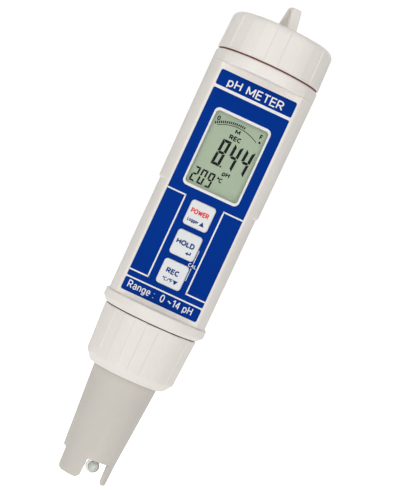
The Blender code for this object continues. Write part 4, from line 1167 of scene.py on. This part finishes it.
def key_shape(low, high):
    """A key with rounded edges and a slightly crowned face, a flange and a stem."""
    centre = (0, middle_z(low, high))
    half, flange = KEY_SIDE / 2, KEY_FLANGE_SIDE / 2
    corner, flange_corner, stem_radius = 1.25, 1.2, 1.6
    face_y = low.y
    rings = []
    for share in (0.12, 0.35, 0.55, 0.72, 0.86):
        y = face_y - KEY_CROWN * (1 - share * share)
        size = (half - 0.5) * share
        rings.append(rounded_outline(size, size, size * 0.35, y, centre))
    round_edge = 0.5
    for backward, inward in quarter_bend(5):
        inset = round_edge * inward
        y = face_y + round_edge * backward
        rings.append(rounded_outline(half - inset, half - inset, corner - inset * 0.5, y, centre))
    flange_y, back_y = RECESS_FLOOR_Y + 0.08, -12.1
    for size, size_corner, y in (
        (half, corner, flange_y),
        (flange, flange_corner, flange_y),
        (flange, flange_corner, back_y),
        (stem_radius, stem_radius, back_y),
        (stem_radius, stem_radius, high.y),
    ):
        rings.append(rounded_outline(size, size, size_corner, y, centre))
    return skin(rings)


def on_key(shape, low, high):
    """Lays a printed shape over a key's crowned face."""
    half = KEY_SIDE / 2 - 0.5
    mid_z = middle_z(low, high)
    points, faces = shape
    moved = []
    for x, y, z in points:
        away = max(abs(x), abs(z - mid_z)) / half
        moved.append((x, y - KEY_CROWN * max(0.0, 1 - away * away), z))
    return moved, faces


def build_keys():
    up = [(-0.93, -0.8), (0.93, -0.8), (0, 0.85)]
    down = [(x, -z) for x, z in up]
    for name in ("power_key", "hold_key", "record_key"):
        low, high = span(name)
        short = name.split("_")[0]
        mid_z = middle_z(low, high)
        stand_in(short + "_button", key_shape(low, high), name, name)
        y_range = (low.y - PRINT_RISE, low.y + PRINT_DEPTH)
        if short == "power":
            main = letters("POWER", 1.9, 6.8, (-0.2, mid_z + 0.9), y_range, 0.4)
            small = [letters("Logger", 1.35, 4.3, (-1.4, mid_z - 2.4), y_range, 0.26)]
            small.append(prism([(2.05 + x, mid_z - 2.4 + z) for x, z in up], y_range))
        elif short == "hold":
            main = letters("HOLD", 2.0, 6.9, (-0.3, mid_z + 0.4), y_range, 0.48)
            arrow = [(0.9, -2.62), (1.85, -1.95), (1.85, -2.42), (2.5, -2.42), (2.5, -1.75)]
            arrow += [(2.92, -1.75), (2.92, -2.84), (1.85, -2.84), (1.85, -3.3)]
            small = [prism([(x, mid_z + z) for x, z in arrow], y_range)]
        else:
            main = letters("REC", 2.0, 5.0, (-0.2, mid_z + 0.8), y_range, 0.48)
            small = [
                letters("°C/°F", 1.4, 3.9, (-0.85, mid_z - 2.4), y_range, 0.26),
                prism([(2.0 + x, mid_z - 2.5 + z) for x, z in down], y_range),
            ]
        word_ink = red_ink if short == "power" else blue_ink
        piece(short + "_word", on_key(main, low, high), name, word_ink)
        piece(short + "_small_print", on_key(merged(small), low, high), name, blue_ink)


# ---------------------------------------------------------------- screw pieces


def panel_columns(phase):
    """Columns round a screw piece as (azimuth, sunk share). They crowd at the edges of each panel,
    so that every step stays crisp."""
    step = 360 / PANELS
    columns = []
    for panel in range(PANELS):
        start = phase + panel * step
        here = panel % 2
        before = 1 - here
        for offset, share in ((-0.5, 0.0), (-0.24, 0.1), (0.24, 0.9), (0.5, 1.0)):
            columns.append((start + offset, before + (here - before) * share))
        for offset in (2.6, 5.0, 7.5, 10.0, 12.4):
            columns.append((start + offset, float(here)))
    return [(math.radians(azimuth), sunk) for azimuth, sunk in columns]


def panel_ring(columns, radius, z, depth):
    """One ring of a panelled surface. Depth sinks every second panel."""
    return [on_circle(radius - depth * sunk, azimuth, z) for azimuth, sunk in columns]


def between(start, end, steps):
    """Evenly spaced points between two points, without either of them."""
    return [tuple(a + (b - a) * (i / steps) for a, b in zip(start, end)) for i in range(1, steps)]


def loop_curve(foot, shoulder, foot_z, top_z, corner, steps):
    """One side of the arch as (u, z) pairs from its foot, round both shoulders, to its other foot."""
    corners = [
        (foot, foot_z, 0),
        (shoulder + corner * 0.12, top_z, corner),
        (-shoulder - corner * 0.12, top_z, corner),
        (-foot, foot_z, 0),
    ]
    bends = softened(corners, steps)
    middle = bends[1:-1]
    split = len(middle) // 2
    path = [bends[0], *between(bends[0], bends[1], 7)]
    path += middle[:split]
    path.append(((middle[split - 1][0] + middle[split][0]) / 2, top_z))
    path += middle[split:]
    path += between(bends[-2], bends[-1], 7)
    path.append(bends[-1])
    return path


def strap_section(outside, inside, grow):
    """The strap's rounded section as (u, z, side) between its outer and inner point."""
    out_point, in_point = Vector(outside), Vector(inside)
    middle = (out_point + in_point) / 2
    across = (out_point - in_point) / 2
    half_thick = across.length
    across.normalize()
    thick, wide, corner = half_thick + grow, LOOP_HALF_WIDTH + grow, 0.5
    corners = [(thick, wide, corner), (thick, -wide, corner), (-thick, -wide, corner), (-thick, wide, corner)]
    section = []
    for a, side in softened(corners, 4, closed=True):
        spot = middle + across * a
        section.append((spot.x, spot.y, side))
    return section


def lanyard_loop(cap_top, loop_top):
    """A flat strap bent into a tapering arch, whose feet spread into the cap."""
    turn = math.radians(LOOP_TURN_DEG)
    forward = Vector((math.sin(turn), -math.cos(turn), 0))
    sideways = Vector((math.cos(turn), math.sin(turn), 0))
    foot_z = cap_top - 0.8
    outer = loop_curve(8.8, 2.6, foot_z, loop_top, 1.5, 7)
    inner = loop_curve(7.0, 1.2, foot_z, loop_top - LOOP_THICKNESS, 0.7, 7)
    rings = []
    for outside, inside in zip(outer, inner):
        above = (outside[1] + inside[1]) / 2 - cap_top
        share = max(0.0, 1 - max(above, 0.0) / 0.9)
        grow = 0.55 * (1 - math.sqrt(max(0.0, 1 - share * share)))
        ring = []
        for u, z, side in strap_section(outside, inside, grow):
            ring.append(tuple(forward * u + sideways * side + Vector((0, 0, z))))
        rings.append(ring)
    return skin(rings)


def build_cap():
    low_z = span("battery_cap")[0].z - 0.2
    cap_top, ceiling = 176.85, 174.9
    loop_top = 186.2
    corner = 2.8
    rim_radius, top_radius = 19.96, 19.6
    columns = panel_columns(CAP_PANEL_PHASE)
    rows = [
        (0.0, ceiling, 0),
        (CAP_THREAD_ROOT, ceiling, 0),
        (CAP_THREAD_ROOT, low_z + 0.25, 0),
        (CAP_THREAD_ROOT + 0.25, low_z, 0),
        (rim_radius - 0.35, low_z, 0),
        (rim_radius - 0.12, low_z + 0.07, 0),
        (rim_radius - 0.02, low_z + 0.22, 0),
        (rim_radius, low_z + 0.42, 0.5),
        (rim_radius - 0.03, low_z + 0.7, 1),
        (rim_radius - 0.06, low_z + 1.2, 1),
    ]
    for i, (inward, down) in enumerate(quarter_bend(10)):
        fade = max(0.0, 1 - max(0.0, i - 3) / 4)
        rows.append((top_radius - corner * inward, cap_top - corner * down, fade))
    rows += [(12.0, cap_top, 0), (0.0, cap_top, 0)]
    rings = []
    for radius, z, share in rows:
        if radius == 0:
            rings.append([(0, 0, z)])
        else:
            rings.append(panel_ring(columns, radius, z, PANEL_STEP * share))
    stub = turned([(2.0, 172.55), (2.0, ceiling + 0.5)], steps=32, closed=False)
    hole = turned([(1.1, 172.0), (1.1, 175.9)], steps=32, closed=False)
    tools = [
        ("UNION", lanyard_loop(cap_top, loop_top)),
        ("UNION", thread_ridge(CAP_THREAD_ROOT, CAP_THREAD_CREST, -0.4, TOP_THREAD_Z + PITCH / 2)),
        ("UNION", stub),
        ("DIFFERENCE", hole),
    ]
    stand_in("screw_cap", skin(rings), "battery_cap", "battery_cap", tools)


def build_lock_ring():
    low, high = span("lock_ring")
    low_z = low.z
    columns = panel_columns(RING_PANEL_PHASE)
    top_radius, low_radius, foot_radius = 18.0, 17.15, 14.6
    chamfer_z = low_z + 3.5
    outside = softened(
        [
            (12.8, low_z, 0),
            (foot_radius, low_z, 0.7),
            (low_radius - 0.05, chamfer_z - 0.2, 2.2),
            (low_radius + 0.08, chamfer_z + 2.6, 0),
        ],
        8,
    )
    rows = []
    for radius, z in outside:
        rows.append((radius, z, min(1.0, max(0.0, (z - chamfer_z + 1.0) / 1.2))))
    top_z = high.z + 0.2
    rows.append((top_radius - 0.02, top_z - 0.6, 1))
    rows.append((top_radius - 0.08, top_z - 0.25, 1))
    rows.append((top_radius - 0.22, top_z - 0.06, 0.7))
    rows.append((top_radius - 0.5, top_z, 0))
    inside = [(16.25, top_z), (RING_THREAD_ROOT, top_z - 0.25), (RING_THREAD_ROOT, 47.8)]
    inside += [(15.2, 47.2), (15.2, 43.3), (12.8, 43.3)]
    rows += [(radius, z, 0) for radius, z in inside]
    rings = [panel_ring(columns, r, z, PANEL_STEP * share) for r, z, share in rows]
    ridge = thread_ridge(RING_THREAD_ROOT, RING_THREAD_CREST, -0.9, LOW_THREAD_Z + PITCH / 2)
    stand_in("ribbed_ring", skin(rings, closed=True), "lock_ring", "lock_ring", [("UNION", ridge)])


def build_seals():
    for name, node, inner in (("cap_gasket", "cap_seal", 17.2), ("ring_gasket", "ring_seal", 15.2)):
        low, high = span(node)
        outer = high.x - 0.15
        corners = [(inner, low.z, 0.1), (outer, low.z, 0.2), (outer, high.z, 0.2), (inner, high.z, 0.1)]
        stand_in(name, turned(softened(corners, closed=True)), "housing", node)
    ring_radius, ring_z, cord_radius, steps = 12.2, 57.5, 0.5, 16
    turns = [math.tau * i / steps for i in range(steps)]
    plug = [(ring_radius + cord_radius * math.cos(t), ring_z + cord_radius * math.sin(t)) for t in turns]
    stand_in("plug_ring", turned(plug), "electrode", "plug_seal")


# ---------------------------------------------------------------- electrode


def prong_notch(first_deg, height):
    """A cutter for one gap between two prongs. It widens at the tips, so that the prongs end round,
    and narrows at the top, so that the gap's corners are round."""
    reach = 15.0
    top_round = 0.9
    degrees_per_mm = math.degrees(1 / TUBE_END_RADIUS)
    levels = [(-1.0, PRONG_ROUND)]
    levels += [(PRONG_ROUND_HEIGHT * up, PRONG_ROUND * out) for up, out in quarter_bend(9)]
    levels += [(height - top_round * down, -top_round * inward) for inward, down in quarter_bend(5)]
    rings = []
    for z, grow in levels:
        low = first_deg - grow * degrees_per_mm
        high = first_deg + 60 + grow * degrees_per_mm
        ring = [(0, 0, z)]
        for k in range(9):
            ring.append(on_circle(reach, math.radians(low + (high - low) * k / 8), z))
        rings.append(ring)
    return skin(rings)


def build_electrode():
    ring_bottom = span("lock_ring")[0].z
    profile = softened(
        [
            (TUBE_BORE_RADIUS + 0.3, 0.0, 0.3),
            (TUBE_END_RADIUS - 0.3, 0.0, 0.9),
            (TUBE_END_RADIUS, TUBE_END_Z, 0),
            (TUBE_TOP_RADIUS, ring_bottom, 0),
            (TUBE_TOP_RADIUS, SHOULDER_LOW_Z, 0),
            (SHOULDER_RADIUS, SHOULDER_LOW_Z, 0.2),
            (SHOULDER_RADIUS, SHOULDER_HIGH_Z, 0.2),
            (COLLAR_RADIUS, SHOULDER_HIGH_Z, 0),
            (COLLAR_RADIUS, COLLAR_TOP_Z, 0.2),
            (COLLAR_BORE, COLLAR_TOP_Z, 0.2),
            (COLLAR_BORE, 48.0, 0),
            (TUBE_BORE_RADIUS, 12.6, 0),
        ],
        closed=True,
    )
    tools = [("DIFFERENCE", prong_notch(120 * k, TUBE_END_Z)) for k in range(3)]
    stand_in("probe_tube", turned(profile), "electrode", "electrode_tube", tools)
    build_glass()


def sphere_profile(radius, centre_z, end_radius, steps=20):
    """The (radius, z) profile of a ball from its lowest point up to where it meets a neck."""
    end = math.acos(end_radius / radius)
    profile = []
    for i in range(steps + 1):
        turn = -math.pi / 2 + (end + math.pi / 2) * i / steps
        profile.append((radius * math.cos(turn), centre_z + radius * math.sin(turn)))
    profile[0] = (0, profile[0][1])
    return profile


def build_glass():
    """The blown stem with its bulb, and the filling that shows through the bulb's wall."""
    top = span("glass_electrode")[1].z
    outside = sphere_profile(BULB_RADIUS, BULB_Z, STEM_RADIUS) + [(STEM_RADIUS, top), (0, top)]
    shape = turned(outside, (BULB_X, 0), 48, closed=False)
    stand_in("glass_bulb", shape, "electrode", "glass_electrode")
    core = sphere_profile(CORE_RADIUS, BULB_Z - 0.05, 0.01)
    core[-1] = (0, core[-1][1])
    piece("bulb_filling", turned(core, (CORE_X, -0.1), 48, closed=False), "electrode", bulb_fill)


# ---------------------------------------------------------------- studio


TILT_ALONG = 0.421
TILT_UP = 0.907
CAMERA_DISTANCE = 605.0
EYE_RIGHT = 4.0
EYE_LEVEL = 102.8
LENS = 120.0
SENSOR = 36.0
FRAME_WIDTH, FRAME_HEIGHT = 419, 500
AIM_RIGHT, AIM_DOWN = 10.75, 31.8
FLOOR_LIFT = 0.85
FLOOR_GLOW = 0.34
FLOOR_HALF = 3000.0
FLOOR_Z = -12.0
SURROUND_LOW = 0.25
SURROUND_HIGH = 0.40
BACKDROP_GLOW = 1.05


def build_camera():
    """A camera square to the meter's front at eye level, rolled so that the meter leans over."""
    across = Vector((TILT_UP, 0, TILT_ALONG)).normalized()
    upright = Vector((-TILT_ALONG, 0, TILT_UP)).normalized()
    focal = LENS / SENSOR * max(FRAME_WIDTH, FRAME_HEIGHT)
    ahead = Vector((-EYE_RIGHT / CAMERA_DISTANCE, 1, 0))
    ahead += across * (AIM_RIGHT / focal) - upright * (AIM_DOWN / focal)
    ahead.normalize()
    across = (across - ahead * across.dot(ahead)).normalized()
    upright = across.cross(ahead)
    data = bpy.data.cameras.new("camera")
    data.lens = LENS
    data.sensor_width = SENSOR
    data.clip_start = 0.01
    camera = bpy.data.objects.new("camera", data)
    turn = Matrix((across, upright, -ahead)).transposed().to_4x4()
    camera.matrix_world = Matrix.Translation((EYE_RIGHT * MM, -CAMERA_DISTANCE * MM, EYE_LEVEL * MM)) @ turn
    bpy.context.collection.objects.link(camera)
    bpy.context.scene.camera = camera


def softbox(name, azimuth, elevation, distance, size, power, colour=(1, 1, 1)):
    """A square light that faces the middle of the meter. Lengths are in metres."""
    data = bpy.data.lights.new(name, "AREA")
    data.shape = "RECTANGLE"
    data.size, data.size_y = size
    data.energy = power
    data.color = colour
    light = bpy.data.objects.new(name, data)
    a, e = math.radians(azimuth), math.radians(elevation)
    away = Vector((math.sin(a) * math.cos(e), -math.cos(a) * math.cos(e), math.sin(e)))
    target = Vector((0, 0, EYE_LEVEL * MM))
    light.location = target + away * distance
    light.rotation_euler = away.to_track_quat("Z", "Y").to_euler()
    bpy.context.collection.objects.link(light)


def build_world():
    """A white background for the camera and a dimmer, softly graded surround for the light."""
    world = bpy.data.worlds.new("studio")
    bpy.context.scene.world = world
    world.use_nodes = True
    nodes = Nodes(world.node_tree)
    place = nodes.node("ShaderNodeTexCoord").outputs["Generated"]
    height = nodes.node("ShaderNodeSeparateXYZ", {"Vector": place}).outputs["Z"]
    surround = nodes.ranged(height, -1.0, 1.0, SURROUND_LOW, SURROUND_HIGH)
    seen = nodes.node("ShaderNodeLightPath").outputs["Is Camera Ray"]
    strength = nodes.node("ShaderNodeMix", {"Factor": seen, "A": surround, "B": BACKDROP_GLOW})
    background = nodes.tree.nodes["Background"]
    nodes.feed(background.inputs["Color"], (1, 1, 1))
    nodes.feed(background.inputs["Strength"], strength.outputs["Result"])


def build_floor():
    """A pale studio floor below the hanging meter."""
    s = Shader("studio_floor")
    mottle = s.ranged(s.noise(0.02, 3.0), 0.3, 0.7, 0.0, 1.0)
    s.set("Base Color", s.mixed(mottle, (0.93, 0.93, 0.93), (0.96, 0.96, 0.96)))
    s.set("Roughness", 0.9)
    s.set("Specular IOR Level", 0.1)
    seen = s.node("ShaderNodeLightPath")
    s.set("Emission Color", (1.0, 1.0, 1.0, 1.0))
    s.set("Emission Strength", s.ranged(seen.outputs["Is Camera Ray"], 0.0, 1.0, FLOOR_GLOW, FLOOR_LIFT))
    corners = [(x * FLOOR_HALF, y * FLOOR_HALF, FLOOR_Z) for x, y in ((-1, -1), (1, -1), (1, 1), (-1, 1))]
    mesh = bpy.data.meshes.new("studio_floor")
    mesh.from_pydata([Vector(c) * MM for c in corners], [], [(0, 1, 2, 3)])
    mesh.materials.append(s.material)
    floor = bpy.data.objects.new("studio_floor", mesh)
    bpy.context.collection.objects.link(floor)


def build_studio():
    bpy.context.scene.view_settings.view_transform = "Standard"
    build_world()
    build_floor()
    softbox("left_softbox", -30, 20, 1.1, (0.6, 0.9), 2.84)
    softbox("right_softbox", 30, 20, 1.1, (0.6, 0.9), 2.36)
    softbox("top_softbox", 0, 78, 1.0, (0.8, 0.6), 1.35)
    softbox("low_card", -20, -7, 0.6, (0.12, 0.10), 0.05)
    softbox("back_left_softbox", -150, 30, 1.2, (0.8, 0.8), 1.3)
    softbox("back_right_softbox", 150, 30, 1.2, (0.8, 0.8), 1.3)
    build_camera()


def main():
    paint_frame_nodes()
    build_housing()
    build_overlay()
    build_display()
    build_keys()
    build_cap()
    build_lock_ring()
    build_seals()
    build_electrode()
    build_studio()
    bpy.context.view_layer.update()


main()
